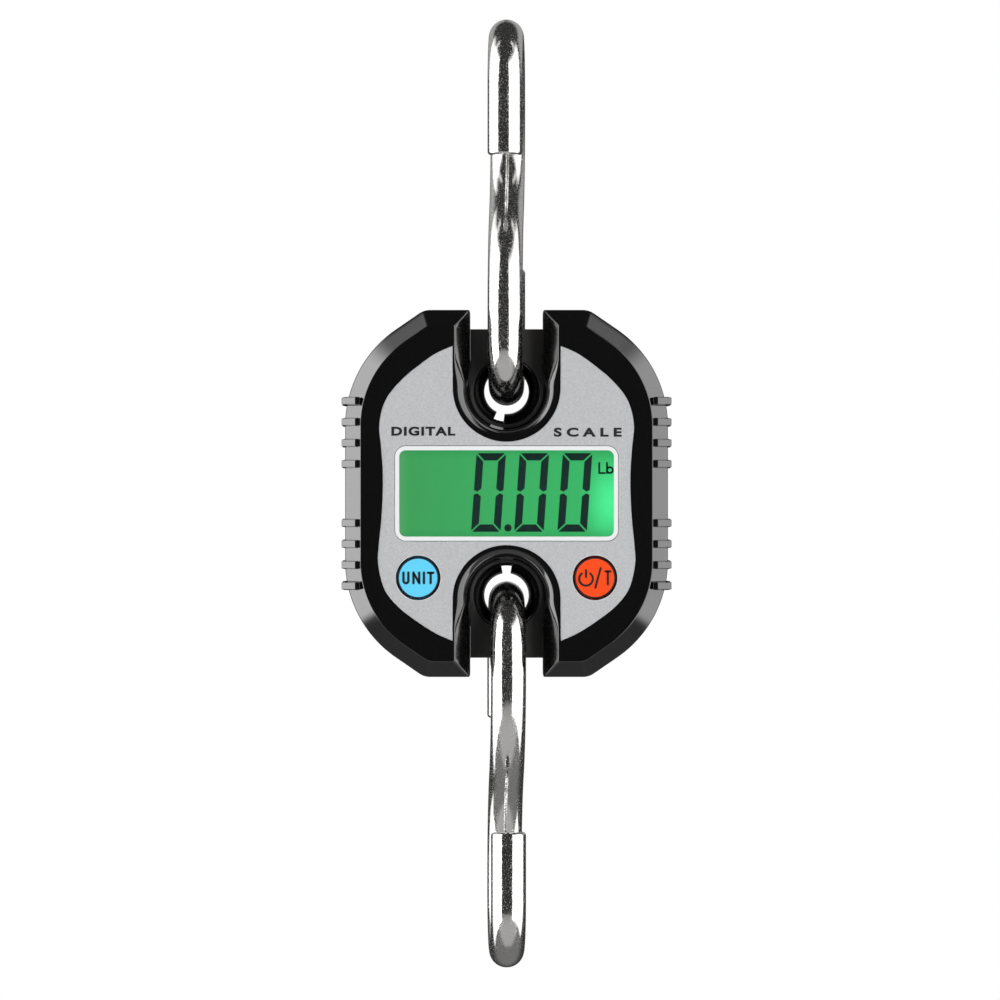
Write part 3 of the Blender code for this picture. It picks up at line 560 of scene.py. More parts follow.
def rounded(corners: Array, radius: float | Array, steps: int = 5) -> Array:
    """A closed polygon whose corners are circular arcs.

    Each arc is the rational curve (1-t)^2 S + 2w t(1-t) P + t^2 E over the sum of its weights, where S and
    E lie r tan(turn/2) from the corner P and w is the cosine of half the turn.

    Args:
        corners: the polygon.
        radius: one radius, or one for each corner.
        steps: chords in each arc.

    Returns:
        The rounded loop.
    """
    before = unit(corners - np.roll(corners, 1, axis=0))
    after = unit(np.roll(corners, -1, axis=0) - corners)
    half = np.arccos(np.clip((before * after).sum(-1), -1.0, 1.0)) / 2
    cut = (radius * np.tan(half))[:, None]
    start, end = (corners - before * cut)[:, None], (corners + after * cut)[:, None]
    t = np.linspace(0.0, 1.0, steps + 1)[None, :, None]
    weights = ((1 - t) ** 2, 2 * np.cos(half)[:, None, None] * t * (1 - t), t**2)
    mixed = weights[0] * start + weights[1] * corners[:, None] + weights[2] * end
    return distinct((mixed / sum(weights)).reshape(-1, 2))


def box_loop(half: tuple[float, float], radius: float, centre: tuple[float, float] = (0.0, 0.0)) -> Array:
    """A rectangle about a centre, with round corners."""
    x, z = half
    corners = np.array([(-x, -z), (x, -z), (x, z), (-x, z)]) + centre
    return rounded(corners, radius, 6)


def winding(loop: Array) -> float:
    """One for a loop that runs anticlockwise, minus one for the other way: the sign of its signed area."""
    x, z = loop.T
    return float(np.sign((x * np.roll(z, -1) - np.roll(x, -1) * z).sum()))


def offset(loop: Array, distance: float) -> Array:
    """A closed loop moved outwards: each point goes along the sum of its two edge normals n and m, times
    distance / (1 + n.m), which keeps both edges parallel."""
    turn = winding(loop)
    along = unit(np.roll(loop, -1, axis=0) - loop)
    out = turn * np.stack([along[:, 1], -along[:, 0]], -1)
    before = np.roll(out, 1, axis=0)
    reach = distance / np.maximum(0.25, 1 + (out * before).sum(-1))
    return loop + (out + before) * reach[:, None]


def smooth_through(points: Array, steps: int = 8) -> Array:
    """A Catmull-Rom curve through points, with both ends repeated."""
    a = np.vstack([points[:1], points[:-1]])[:-1, None]
    b, c = points[:-1, None], points[1:, None]
    d = np.vstack([points[2:], points[-1:]])[:, None]
    t = np.linspace(0.0, 1.0, steps, endpoint=False)[None, :, None]
    curve = (2 * b + (c - a) * t + (2 * a - 5 * b + 4 * c - d) * t**2 + (3 * b - a - 3 * c + d) * t**3) / 2
    return np.vstack([curve.reshape(-1, 2), points[-1:]])


def stroke(line: Array, width: float, steps: int = 8) -> Array:
    """The outline of a pen stroke: the line moved half a width to both sides, with half-circle ends."""
    along = unit(np.gradient(line, axis=0))
    left = np.stack([-along[:, 1], along[:, 0]], -1) * width / 2
    first, last = (math.atan2(along[i, 1], along[i, 0]) for i in (0, -1))
    quarter = math.pi / 2
    head = arc(tuple(line[-1]), width / 2, last + quarter, last - quarter, steps)[1:-1]
    tail = arc(tuple(line[0]), width / 2, first - quarter, first - 3 * quarter, steps)[1:-1]
    return np.vstack([line + left, head, (line - left)[::-1], tail])


def segment(*ends: tuple[float, float]) -> Array:
    """A straight line or open polygon as an array."""
    return np.array(ends, float)


# ------------------------------------------------------------------ solids


@dataclass
class Skin:
    """The faces of one piece, gathered as arrays of points in case millimetres."""

    points: list[Array] = field(default_factory=list)
    faces: list[list[int]] = field(default_factory=list)
    bar: list[Array] = field(default_factory=list)
    count: int = 0

    def _add(self, points: Array) -> int:
        """Stores points and gives the first one's index."""
        start = self.count
        self.points.append(points.reshape(-1, 3))
        self.count += len(self.points[-1])
        return start

    def grid(self, rows: Array, wrap: bool = True) -> "Skin":
        """Quads between neighbours of a grid of points.

        Args:
            rows: the points, as (row, column, 3).
            wrap: whether the last column joins the first.

        Returns:
            This skin.
        """
        index = np.arange(rows.shape[0] * rows.shape[1]).reshape(rows.shape[:2]) + self._add(rows)
        here, after = (index, np.roll(index, -1, axis=1)) if wrap else (index[:, :-1], index[:, 1:])
        self.faces += np.stack([here[:-1], after[:-1], after[1:], here[1:]], -1).reshape(-1, 4).tolist()
        return self

    def cap(self, ring: Array) -> "Skin":
        """One face across a ring of points."""
        start = self._add(ring)
        self.faces.append(list(range(start, start + len(ring))))
        return self

    def flat(self, loops: Sequence[Array], y: float) -> "Skin":
        """Fills the plane at depth y between loops, the first one outside and the others its holes."""
        starts = np.cumsum([0, *map(len, loops)])
        outlines = [list(range(a, b)) for a, b in zip(starts[:-1].tolist(), starts[1:].tolist())]
        turned = [loop if winding(loop) > 0 else loop[::-1] for loop in loops]
        corners = [Vector(p) for p in np.concatenate(turned).tolist()]
        places, _, faces, _, _, inside = delaunay_2d_cdt(corners, [], outlines, 1, 1e-6)
        flat = np.array([(p.x, y, p.y) for p in places])
        start = self._add(flat)
        self.faces += [[start + i for i in face] for face, owners in zip(faces, inside) if owners == [0]]
        return self

    def walls(self, loop: Array, levels: Iterable[tuple[float, float]]) -> "Skin":
        """A loop carried through (outward shift, depth) levels."""
        rows = [np.insert(offset(loop, shift), 1, y, axis=1) for shift, y in levels]
        return self.grid(np.stack(rows))

    def prism(self, loops: Sequence[Array], near: float, far: float, soft: float = 0.0, steps: int = 3) -> "Skin":
        """A slab with holes whose edges are quarter circles.

        Args:
            loops: the outside, then the holes.
            near: depth of one face.
            far: depth of the other.
            soft: the edges' radius.
            steps: chords in each edge.

        Returns:
            This skin.
        """
        way = math.copysign(1.0, far - near)
        turn = np.linspace(0.0, math.pi / 2, steps + 1) if soft else np.array([math.pi / 2])
        inset, drop = soft * (1 - np.sin(turn)), soft * (1 - np.cos(turn))
        levels = [(i, near + way * d) for i, d in zip(inset, drop)]
        levels += [(i, far - way * d) for i, d in zip(inset[::-1], drop[::-1])]
        signs = [-1.0] + [1.0] * (len(loops) - 1)
        for sign, loop in zip(signs, loops):
            self.walls(loop, [(sign * i, y) for i, y in levels])
        ends = [offset(loop, sign * inset[0]) for sign, loop in zip(signs, loops)]
        return self.flat(ends, near).flat(ends, far)

    def turned(self, profile: Array, centre: Array, axis: int = 1, sides: int = 64) -> "Skin":
        """A profile of (radius, along) pairs turned about a line through centre that lies along an axis.
        Where the radius reaches zero the ring becomes a pole."""
        angle = np.linspace(0.0, math.tau, sides, endpoint=False)
        radius, along = profile[:, :1], profile[:, 1:]
        parts = [radius * np.cos(angle), radius * np.sin(angle)]
        parts.insert(axis, along + 0 * angle)
        return self.grid(np.stack(parts, -1) + centre)


def open_profile(corners: Array, radius: float, steps: int = 4) -> Array:
    """An open profile whose inner corners are round and whose two ends stay."""
    radii = np.full(len(corners), radius)
    radii[[0, -1]] = 0.0
    return rounded(corners, radii, steps)


def weld(mesh: bpy.types.Mesh, reach: float, sliver: float = 0.0) -> None:
    """Joins a mesh's points and turns its faces outwards.

    Args:
        mesh: the mesh.
        reach: how close two points are that become one, in metres.
        sliver: the length under which an edge is dropped, if any.
    """
    shape = bmesh.new()
    shape.from_mesh(mesh)
    bmesh.ops.remove_doubles(shape, verts=shape.verts, dist=reach)
    if sliver:
        bmesh.ops.dissolve_degenerate(shape, edges=shape.edges, dist=sliver)
    bmesh.ops.recalc_face_normals(shape, faces=shape.faces)
    shape.to_mesh(mesh)
    shape.free()


@dataclass(frozen=True)
class Datum:
    """Where the middle of the case lies in the row's frame."""

    height: float

    @classmethod
    def read(cls) -> "Datum":
        """Takes it from the front shell's box."""
        low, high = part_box("front_shell")
        return cls((low.z + high.z) / 2)

    def build(self, name: str, skin: Skin, finish: Finish, crease: float = 32.0) -> bpy.types.Object:
        """Makes the object.

        Args:
            name: its name.
            skin: its faces.
            finish: its finish.
            crease: the angle in degrees past which an edge is sharp.

        Returns:
            The object, at the origin with its place in its mesh.
        """
        mesh = bpy.data.meshes.new(name)
        points = np.concatenate(skin.points) * MM + (0.0, 0.0, self.height)
        mesh.from_pydata(points.tolist(), [], skin.faces)
        if skin.bar:
            trace = mesh.attributes.new("bar", "FLOAT_VECTOR", "POINT")
            trace.data.foreach_set("vector", (np.concatenate(skin.bar) * MM).ravel())
        weld(mesh, 1.5e-6, 1e-7)
        mesh.shade_smooth()
        mesh.set_sharp_from_angle(angle=math.radians(crease))
        mesh.materials.append(finish.material())
        made = bpy.data.objects.new(name, mesh)
        bpy.context.scene.collection.objects.link(made)
        weighted = made.modifiers.new("even_flats", "WEIGHTED_NORMAL")
        weighted.keep_sharp = True
        return made

    def fit(
        self, name: str, skin: Skin, finish: Finish, body: str = "case", stands_for: Sequence[str] = ()
    ) -> bpy.types.Object:
        """Builds a piece, rides it on a body, and hides the solids it stands for."""
        made = self.build(name, skin, finish)
        settle(made, finish, body, stands_for)
        return made


def settle(piece: bpy.types.Object, finish: Finish, body: str, stands_for: Sequence[str] = ()) -> None:
    """Ties a piece to its body and the solids it stands for, and reports it."""
    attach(piece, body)
    if stands_for:
        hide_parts(*stands_for)
    LOG.info("%s rides on %s, %d faces, %s", piece.name, body, len(piece.data.polygons), finish.name)


CASE_DATUM = Datum.read()


# ------------------------------------------------------------------ casing


@dataclass
class Rim:
    """The case's outline seen from the front, as columns that a profile is carried along.

    A point of the skin is anchor + a * across + b * inward + f * pull. a widens the notches, b draws in the
    outside, and f sizes the round corners, where pull is -(1-t)^2 of the way in plus t^2 of the way out.
    seated is one on the walls above a notch's floor, and steep is one where a notch's lip is a 45 degree
    chamfer and not a long slope.
    """

    half_width: float = 40.7
    half_height: float = 46.25
    shoulder: float = 29.5
    shoulder_start: float = 17.0
    shoulder_angle: float = math.radians(55.5)
    notch: float = 8.8
    eye: float = 25.7
    lip_rise: float = 0.18
    bridge: float = 41.3
    notch_steps: int = 22
    wall_heights: tuple[float, ...] = (27.0, 28.2, 29.4, 30.6, 31.8, 33.5, 35.5, 38.0)
    steep_start: float = 27.6
    steep_run: float = 6.0
    mouth_corner: float = 0.5
    top_flat: float = 16.0
    top_corner: float = 1.5
    shoulder_steps: int = 26
    side_heights: tuple[float, ...] = (13.0, 8.0, 3.0, 0.0)

    def quarter(self) -> dict[str, Array]:
        """The upper right quarter, from the notch's lowest point to the middle of the side."""
        parts: list[list[Array]] = []

        def add(vectors: Sequence[Array], seated: float = 0.0, steep: Array | float = 1.0) -> None:
            """Adds columns from anchor, across, inward and pull, each being spread over all of them."""
            count = max(len(v) for v in vectors)
            spread = [np.broadcast_to(v.astype(float), (count, 2)) for v in vectors]
            parts.append([*spread, np.broadcast_to(seated, count), np.broadcast_to(steep, count)])

        def one(x: float, z: float) -> Array:
            """A single point or direction."""
            return np.array([(x, z)])

        none, right, left, down = one(0, 0), one(1, 0), one(-1, 0), one(0, -1)
        around = arc((0.0, 0.0), 1.0, -math.pi / 2, 0.0, self.notch_steps)
        foot = around * self.notch + (0.0, self.eye)
        add((foot, around + (0.0, self.lip_rise), none, none), 1.0, 0.0)
        height = np.array([*self.wall_heights, self.bridge])
        walls = np.stack([np.full(len(height), self.notch), height], -1)
        rise = (height - self.steep_start) / self.steep_run
        add((walls, right, none, none), 1.0, np.clip(rise, 0.0, 1.0))
        add((one(self.notch, self.bridge), right, none, none))
        t = np.linspace(0.0, 1.0, 7)[:, None]
        pull = t**2 * (1.0, 0.0) - (1 - t) ** 2 * (0.0, 1.0)
        add((one(self.notch, self.half_height), right, down, self.mouth_corner * pull))
        add((one(self.top_flat, self.half_height), none, down, none))
        slope = np.array([math.cos(self.shoulder_angle), math.sin(self.shoulder_angle)])
        centre = np.array([self.half_width - self.shoulder, self.shoulder_start])
        end = centre + self.shoulder * slope
        back = (self.half_height - end[1]) * math.tan(self.shoulder_angle)
        mitre = -(slope + (0.0, 1.0)) / (1 + slope[1])
        t = np.linspace(0.0, 1.0, 9)[:, None]
        pull = t**2 * (slope[1], -slope[0]) - (1 - t) ** 2 * (1.0, 0.0)
        add((one(end[0] - back, self.half_height), none, mitre[None], self.top_corner * pull))
        turn = arc((0.0, 0.0), 1.0, self.shoulder_angle, 0.0, self.shoulder_steps)
        add((centre + self.shoulder * turn, none, -turn, none))
        side = np.array([(self.half_width, z) for z in self.side_heights])
        add((side, none, left, none))
        names = ("anchor", "across", "inward", "pull", "seated", "steep")
        return {name: np.concatenate([part[i] for part in parts]) for i, name in enumerate(names)}

    def columns(self) -> dict[str, Array]:
        """All four quarters, joined into one closed run."""
        first = self.quarter()
        turns = (((1, 1), 1), ((1, -1), -1), ((-1, -1), 1), ((-1, 1), -1))
        made = {
            name: np.concatenate([(first[name] * sign)[::way] for sign, way in turns])
            for name in ("anchor", "across", "inward", "pull")
        }
        for name in ("seated", "steep"):
            made[name] = np.concatenate([first[name][::way] for _, way in turns])
        return made


@dataclass
class Shell:
    """One half of the case: a profile carried round the rim, a flat face, and a notch floor at both ends."""

    face: Face
    lip: float
    depth: float = 15.0
    chamfer: float = 4.2
    chamfer_start: float = 10.8
    draft: float = 0.25
    edge: float = 0.45
    blend: float = 0.012
    bowl: float = 3.0
    bowl_run: float = 2.25
    mouth_run: float = 0.3
    mouth_rise: float = 0.7
    mouth_soft: float = 0.4
    floor: float = 6.0
    floor_thickness: float = 1.7
    wall: float = 2.0
    inner_depth: float = 12.9
    joint: float = 0.05
    eye_hole: float = 8.35
    bridge_thickness: float = 2.0
    rib_reach: float = 41.38
    rib_turn: float = 37.9
    rib_thickness: float = 1.6
    rib_places: tuple[float, ...] = (7.4, 12.65, 17.9, 23.15, -7.4, -12.65, -17.9, -23.15)
    rib_crest: tuple[tuple[float, float], ...] = ((1.05, 0.85), (0.9, 0.16), (0.86, 0.05), (0.78, 0.0))
    rim: Rim = field(default_factory=Rim)

    def eased(self, depth: Array, run: float, rise: float, radius: float) -> Array:
        """Inset of a slope that turns into the flat face through an arc.

        Below the arc the inset grows by run over rise with depth. Within it, at height h under the face and
        with cos(p) = 1 - h/r, the inset is the corner's plus r tan(turn/2) - r sin(p).

        Args:
            depth: how far from the parting line.
            run: the slope's width.
            rise: its height.
            radius: the arc's radius r.

        Returns:
            The inset at each depth.
        """
        turn = math.atan2(rise, run)
        under = np.clip(self.depth - depth, 0.0, None)
        line = run - under * run / rise
        angle = np.arccos(np.clip(1 - under / radius, -1.0, 1.0))
        curve = run + radius * (math.tan(turn / 2) - np.sin(angle))
        return np.where(under < radius * (1 - math.cos(turn)), curve, line)

    def depths(self) -> Array:
        """The profile's levels, from the parting line to the face, close together where it turns."""
        near_face = self.depth - self.edge * (1 - np.cos(np.radians(np.arange(72.0, -1.0, -9.0))))
        wall = [self.joint, 4.3, self.floor, 6.4, 6.9, 7.6, 9.6]
        turn = [10.2, 10.5, 10.7, self.chamfer_start, 10.9, 11.1, 11.4, 12.0, 12.4]
        return np.concatenate([wall, turn, np.linspace(12.7, 14.6, 9), near_face])

    def outside(self, columns: Mapping[str, Array], depth: Array) -> Array:
        """The skin's points, as (level, column, 3).

        The outside's inset is the smooth larger of the draft and the chamfer: half of their sum and of the
        root of their squared difference plus a little. A notch has a long slope round its floor and a short
        chamfer at its mouth, and steep goes from one to the other.
        """
        slope = self.lip - self.rim.notch
        level = depth[:, None]
        seated, steep = columns["seated"][None, :], columns["steep"][None, :]
        own = np.where(seated > 0, np.maximum(level, self.floor - self.floor_thickness), level)
        long = np.maximum(self.eased(own, slope - self.bowl_run, self.depth - self.floor, self.bowl), 0.0)
        short = self.eased(own, slope + self.mouth_run, slope + self.mouth_rise, self.edge)
        short = np.maximum(short, self.mouth_soft)
        notch = long * (1 - steep) + short * steep
        draft = self.draft * own / self.chamfer_start
        bevel = self.eased(own, self.chamfer, self.depth - self.chamfer_start, self.edge)
        drawn = (draft + bevel + np.sqrt((draft - bevel) ** 2 + self.blend)) / 2
        shift = [a[..., None] * columns[name] for a, name in ((notch, "across"), (drawn, "inward"))]
        plane = columns["anchor"] + shift[0] + shift[1] + columns["pull"]
        return np.stack([plane[..., 0], self.face * own, plane[..., 1]], -1)

    def inside(self, columns: Mapping[str, Array]) -> Array:
        """The inner wall's points: the outside moved in by the wall, with a steeper inner chamfer."""
        turn = self.inner_depth - 2.8
        level = np.array([self.joint, 4.3, 8.0, turn, self.inner_depth])[:, None]
        seated = columns["seated"][None, :] > 0
        own = np.where(seated, np.maximum(level, self.floor - self.floor_thickness), level)
        slope = (self.lip - self.rim.notch) / (self.depth - self.floor)
        notch = np.maximum((own - self.floor) * slope, 0.0) + 1.6
        drawn = self.wall + self.draft + np.maximum(own - turn, 0.0) * 0.7
        plane = columns["anchor"] + notch[..., None] * columns["across"] + drawn[..., None] * columns["inward"]
        return np.stack([plane[..., 0], self.face * own, plane[..., 1]], -1)

    def body(self, face_holes: Sequence[Array], inner_holes: Sequence[Array]) -> Skin:
        """The shell without its floors and ribs, open at the given holes in its face and its inner face."""
        columns = self.rim.columns()
        outer, inner = self.outside(columns, self.depths()), self.inside(columns)
        skin = Skin().grid(outer).grid(inner).grid(np.stack([outer[0], inner[0]]))
        skin.flat([distinct(outer[-1][:, [0, 2]]), *face_holes], self.face * self.depth)
        return skin.flat([distinct(inner[-1][:, [0, 2]]), *inner_holes], self.face * self.inner_depth)

    def add_floors(self, skin: Skin) -> None:
        """At both ends, a floor with the eye's hole in it, and the bridge past the eye."""
        near, far = self.face * self.floor, self.face * (self.floor - self.floor_thickness)
        for end in End:
            width = self.rim.notch + 0.3
            curve = arc((0.0, self.rim.eye), width, -math.pi, 0.0, 40)
            floor = np.vstack([curve, [(width, self.rim.bridge), (-width, self.rim.bridge)]])
            hole = circle((0.0, self.rim.eye), self.eye_hole, 72)
            skin.prism([loop * (1, end) for loop in (floor, hole)], near, far, 0.22)
            half = self.bridge_thickness / 2
            wall = box_loop((width, half), 0.05, (0.0, end * (self.rim.bridge - half)))
            skin.prism([wall], near - self.face * 0.02, self.face * self.joint, 0.25)

    def add_ribs(self, skin: Skin) -> None:
        """Grip ribs: a strip that follows the side and the chamfer. Its crest is narrower than its root."""
        reach, turn, flush = self.rib_reach, self.rib_turn, self.depth - 0.03
        root, bevel = reach - self.rib_thickness, flush - reach + turn
        corners = [(turn - 1.2, flush), (turn, flush), (reach - 0.05, bevel), (reach, self.joint)]
        corners += [(root, self.joint), (root, bevel - 0.6), (turn - 1.2, flush - self.rib_thickness)]
        profile = rounded(np.array(corners), np.array([0.05, 0.3, 0.45, 0.05, 0.05, 0.05, 0.05]), 5)
        crest = np.array(self.rib_crest)
        levels = np.concatenate([-crest[:, 0], crest[::-1, 0]])
        loops = np.stack([offset(profile, -shift) for shift in (*crest[:, 1], *crest[::-1, 1])])
        for side in Side:
            for place in self.rib_places:
                height = np.broadcast_to((place + levels)[:, None], loops.shape[:2])
                rows = np.stack([side * loops[..., 0], self.face * loops[..., 1], height], -1)
                skin.grid(rows).cap(rows[0]).cap(rows[-1])


@dataclass
class FacePlate:
    """The printed silver film: a waisted shield round both notches."""

    upper: tuple[tuple[float, float], ...] = (
        (13.5, 36.9),
        (17.6, 35.1),
        (21.9, 32.1),
        (26.5, 28.2),
        (30.3, 23.3),
        (31.85, 17.4),
        (31.4, 11.5),
        (31.0, 5.5),
    )
    lower: tuple[tuple[float, float], ...] = (
        (31.0, 0.0),
        (31.35, -6.5),
        (31.95, -12.5),
        (32.15, -17.6),
        (30.6, -23.9),
        (27.2, -28.3),
        (22.6, -31.9),
        (17.9, -34.9),
        (13.5, -36.9),
    )
    notch: float = 13.45
    lip_centre: float = 26.4
    front: float = -14.9
    back: float = -14.5
    edge: float = 0.14

    def outline(self) -> Array:
        """Both notches and both sides as one loop."""
        side = smooth_through(np.array(self.upper + self.lower), 6)
        dip = arc((0.0, self.lip_centre), self.notch, 0.0, -math.pi, 48)
        return distinct(np.vstack([side, dip * (1, -1), (side * (-1, 1))[::-1], dip[::-1]]))

    def build(self, window: Array, keys: Sequence[Array]) -> None:
        """The film with its openings."""
        skin = Skin().prism([self.outline(), window, *keys], self.front, self.back, self.edge)
        CASE_DATUM.fit("face_plate", skin, SILVER, stands_for=["face_plate"])


@dataclass
class Casing:
    """Both shells, with what is cut into their faces."""

    key_centres: tuple[tuple[float, float], ...] = ((-22.1, -21.1), (22.1, -21.1))
    key_hole: float = 5.45
    window: tuple[float, float] = (27.9, 11.85)
    window_corner: float = 2.7
    screw: tuple[float, float] = (33.0, 24.6)
    door: tuple[float, float] = (27.4, 12.3)
    bay: tuple[float, float] = (25.3, 11.6)
    face: float = 15.0
    bed_floor: float = 14.42
    bed_gap: float = 0.12
    ledge: tuple[float, float] = (27.0, 11.0)
    bore: float = 2.8
    bore_floor: float = 9.0
    bore_lip: float = 0.25
    door_floor: float = 13.15
    bay_floor: float = 2.3
    block_floor: float = 1.3

    def key_loops(self) -> list[Array]:
        """The keys' holes."""
        return [circle(centre, self.key_hole, 72) for centre in self.key_centres]

    def window_loop(self) -> Array:
        """The window's opening."""
        return offset(box_loop(self.window, self.window_corner), self.bed_gap)

    def build_front(self, plate: FacePlate) -> None:
        """The front shell: a shallow bed for the plate, pierced for the window and the keys."""
        shell = Shell(Face.FRONT, 12.7)
        bed = offset(plate.outline(), self.bed_gap)
        holes = [box_loop(self.ledge, 1.6), *self.key_loops()]
        skin = shell.body([bed], holes)
        skin.walls(bed, [(0.0, -self.face), (0.0, -self.bed_floor)])
        skin.flat([bed, *holes], -self.bed_floor)
        for hole in holes:
            skin.walls(hole, [(0.0, -self.bed_floor), (0.0, -shell.inner_depth)])
        shell.add_floors(skin)
        shell.add_ribs(skin)
        CASE_DATUM.fit("front_shell", skin, CASING, stands_for=["front_shell"])

    def build_rear(self) -> None:
        """The rear shell: a bed for the door over the battery bay, and four counterbores."""
        shell = Shell(Face.REAR, 12.0)
        door, bay = box_loop(self.door, 1.2), box_loop(self.bay, 0.8)
        block = box_loop((self.bay[0] + 1.5, self.bay[1] + 1.3), 0.8)
        x, z = self.screw
        bores = [circle((i * x, j * z), self.bore, 48) for i in Side for j in End]
        soft, *wide = (offset(loop, self.bore_lip) for loop in (door, *bores))
        skin = shell.body([soft, *wide], [block])
        for outer in (door, *bores):
            deep = self.door_floor if outer is door else self.bore_floor
            skin.walls(outer, [(self.bore_lip, self.face), (0.08, 14.93), (0.0, 14.75), (0.0, deep)])
        for bore in bores:
            skin.flat([bore], self.bore_floor)
        skin.flat([door, bay], self.door_floor)
        skin.walls(bay, [(0.0, self.door_floor), (0.0, self.bay_floor)]).flat([bay], self.bay_floor)
        skin.walls(block, [(0.0, shell.inner_depth), (0.0, self.block_floor)]).flat([block], self.block_floor)
        shell.add_floors(skin)
        shell.add_ribs(skin)
        CASE_DATUM.fit("rear_shell", skin, CASING, stands_for=["rear_shell"])


# ------------------------------------------------------------------ display, keys and print


@dataclass
class Display:
    """The window, its white border, and the figures on the crystal."""

    glass: float = -12.6
    lens: tuple[float, float] = (-14.88, -13.6)
    ink: tuple[float, float] = (-14.93, -14.86)
    border: float = 1.06
    digit: tuple[float, float] = (7.4, 19.7)
    bar: float = 1.85
    gap: float = 0.24
    foot: float = -9.6
    lean: float = math.tan(math.radians(4.0))
    starts: tuple[float, ...] = (-8.9, 1.9, 12.7)
    point: tuple[float, float, float] = (0.35, -8.62, 0.92)
    unit_pen: float = 0.5

    def zero(self) -> list[Array]:
        """The six bars of a nought. Their ends are mitred, and pointed where two meet half-way up."""
        width, height = self.digit
        t, g, middle = self.bar, self.gap, height / 2
        top = segment((g, height), (width - g, height), (width - t - g, height - t), (t + g, height - t))
        shoulder, foot = height - g * 1.2, (t * 0.45, middle + g * 0.8)
        side = segment((0, shoulder), (t, shoulder - t), (t, middle + 0.95), foot, (0, middle + 0.6))
        right = side * (-1, 1) + (width, 0)
        lower = [shape * (1, -1) + (0, height) for shape in (top, side, right)]
        return [top, side, right, *lower]

    def figures(self) -> Skin:
        """Three noughts, the point, and the unit beside them."""
        shapes = [bar + (start, self.foot) for start in self.starts for bar in self.zero()]
        leaning = [bar + np.stack([(bar[:, 1] - self.foot) * self.lean, 0 * bar[:, 1]], -1) for bar in shapes]
        x, z, radius = self.point
        loops = [*(rounded(bar, 0.09, 2) for bar in leaning), circle((x, z), radius, 32)]
        letters = [segment((23.2, 7.65), (23.2, 5.1)), segment((23.2, 5.1), (24.6, 5.1))]
        letters += [segment((25.15, 7.65), (25.15, 5.1))]
        letters += [arc((25.87, 5.85), 0.72, math.radians(170), math.radians(-170), 24)]
        loops += [stroke(line, self.unit_pen, 4) for line in letters]
        skin = Skin()
        for loop in loops:
            skin.prism([loop], self.glass - 0.03, self.glass + 0.02)
        return skin

    def build(self, casing: Casing) -> None:
        """The window, the border that is printed round it, and the figures."""
        outer = box_loop(casing.window, casing.window_corner)
        width, height = casing.window
        inner = box_loop((width - self.border, height - self.border), 1.6)
        lens = Skin().prism([outer], *self.lens, 0.1)
        CASE_DATUM.fit("display_lens", lens, CLEAR, stands_for=["display_lens"])
        CASE_DATUM.fit("window_border", Skin().prism([outer, inner], *self.ink, 0.02, 1), WHITE_INK_AND_HIGHLIGHT)
        CASE_DATUM.fit("display_figures", self.figures(), SEGMENT)


@dataclass
class Key:
    """A round key with a nearly flat crown, a flange behind the plate, and a printed sign."""

    name: str
    side: Side
    finish: KeyCap
    place: tuple[float, float] = (22.1, -21.1)
    radius: float = 5.05
    flange: float = 6.2
    line: float = 0.6

    def centre(self) -> Array:
        """The key's axis."""
        return np.array([self.side * self.place[0], 0.0, self.place[1]])

    def signs(self) -> list[Array]:
        """Outlines of the sign's strokes about the key's axis."""
        if self.side is Side.LEFT:
            cup = np.vstack([[(-3.66, 1.3)], arc((-3.05, -0.72), 0.61, -math.pi, 0.0, 14), [(-2.44, 1.3)]])
            lines = [cup, segment((-1.16, -1.32), (-1.16, 1.3)), segment((-1.16, 1.25), (0.26, -1.27))]
            lines += [segment((0.26, 1.3), (0.26, -1.32)), segment((1.45, 1.3), (1.45, -1.32))]
            lines += [segment((2.45, 1.26), (3.8, 1.26)), segment((3.12, 1.2), (3.12, -1.32))]
            return [stroke(line, self.line) for line in lines]
        ring = arc((-2.25, -0.25), 1.7, math.radians(128), math.radians(412), 44)
        lines = [ring, segment((-2.25, 1.95), (-2.25, 0.2)), segment((1.42, 2.45), (0.1, -2.45))]
        lines += [segment((2.6, 1.62), (3.85, 1.62)), segment((3.22, 1.6), (3.22, -1.6))]
        return [stroke(line, self.line - 0.08) for line in lines]

    def build(self, plate: FacePlate) -> None:
        """The cap, its sign, a black line printed round it, and a white ring printed outside that, which is a painted
        highlight of the light caught round the key's opening.
        """
        r, wide = self.radius, self.flange
        corners = [(0.0, -15.11), (r * 0.6, -15.1), (r, -15.07), (r, -12.55)]
        corners += [(wide, -12.55), (wide, -11.85), (0.0, -11.85)]
        radii = np.array([0.0, 0.5, 0.28, 0.1, 0.1, 0.1, 0.0])
        profile = rounded(np.array(corners), radii, 4)
        body = f"{self.name}_key"
        CASE_DATUM.fit(body, Skin().turned(profile, self.centre()), self.finish, body, [body])
        sign = Skin()
        for loop in self.signs():
            sign.prism([loop + self.centre()[[0, 2]]], -15.13, -15.03)
        edge = rounded(np.array([(4.78, -15.12), (5.09, -15.08), (5.09, -14.5), (4.78, -14.5)]), 0.08, 3)
        sign.turned(np.vstack([edge, edge[:1]]), self.centre())
        CASE_DATUM.fit(f"{self.name}_sign", sign, BLACK_INK, body)
        middle = tuple(self.centre()[[0, 2]])
        # The black line is print. The white ring is a painted highlight: white ink standing in for light caught round
        # the opening.
        for name, outer, inner, ink in (("black", 5.62, 5.45, BLACK_INK), ("white", 5.73, 5.62, WHITE_INK_AND_HIGHLIGHT)):
            ring = [circle(middle, outer, 72), circle(middle, inner, 72)]
            skin = Skin().prism(ring, plate.front - 0.015, plate.front + 0.02)
            CASE_DATUM.fit(f"{self.name}_{name}_line", skin, ink)


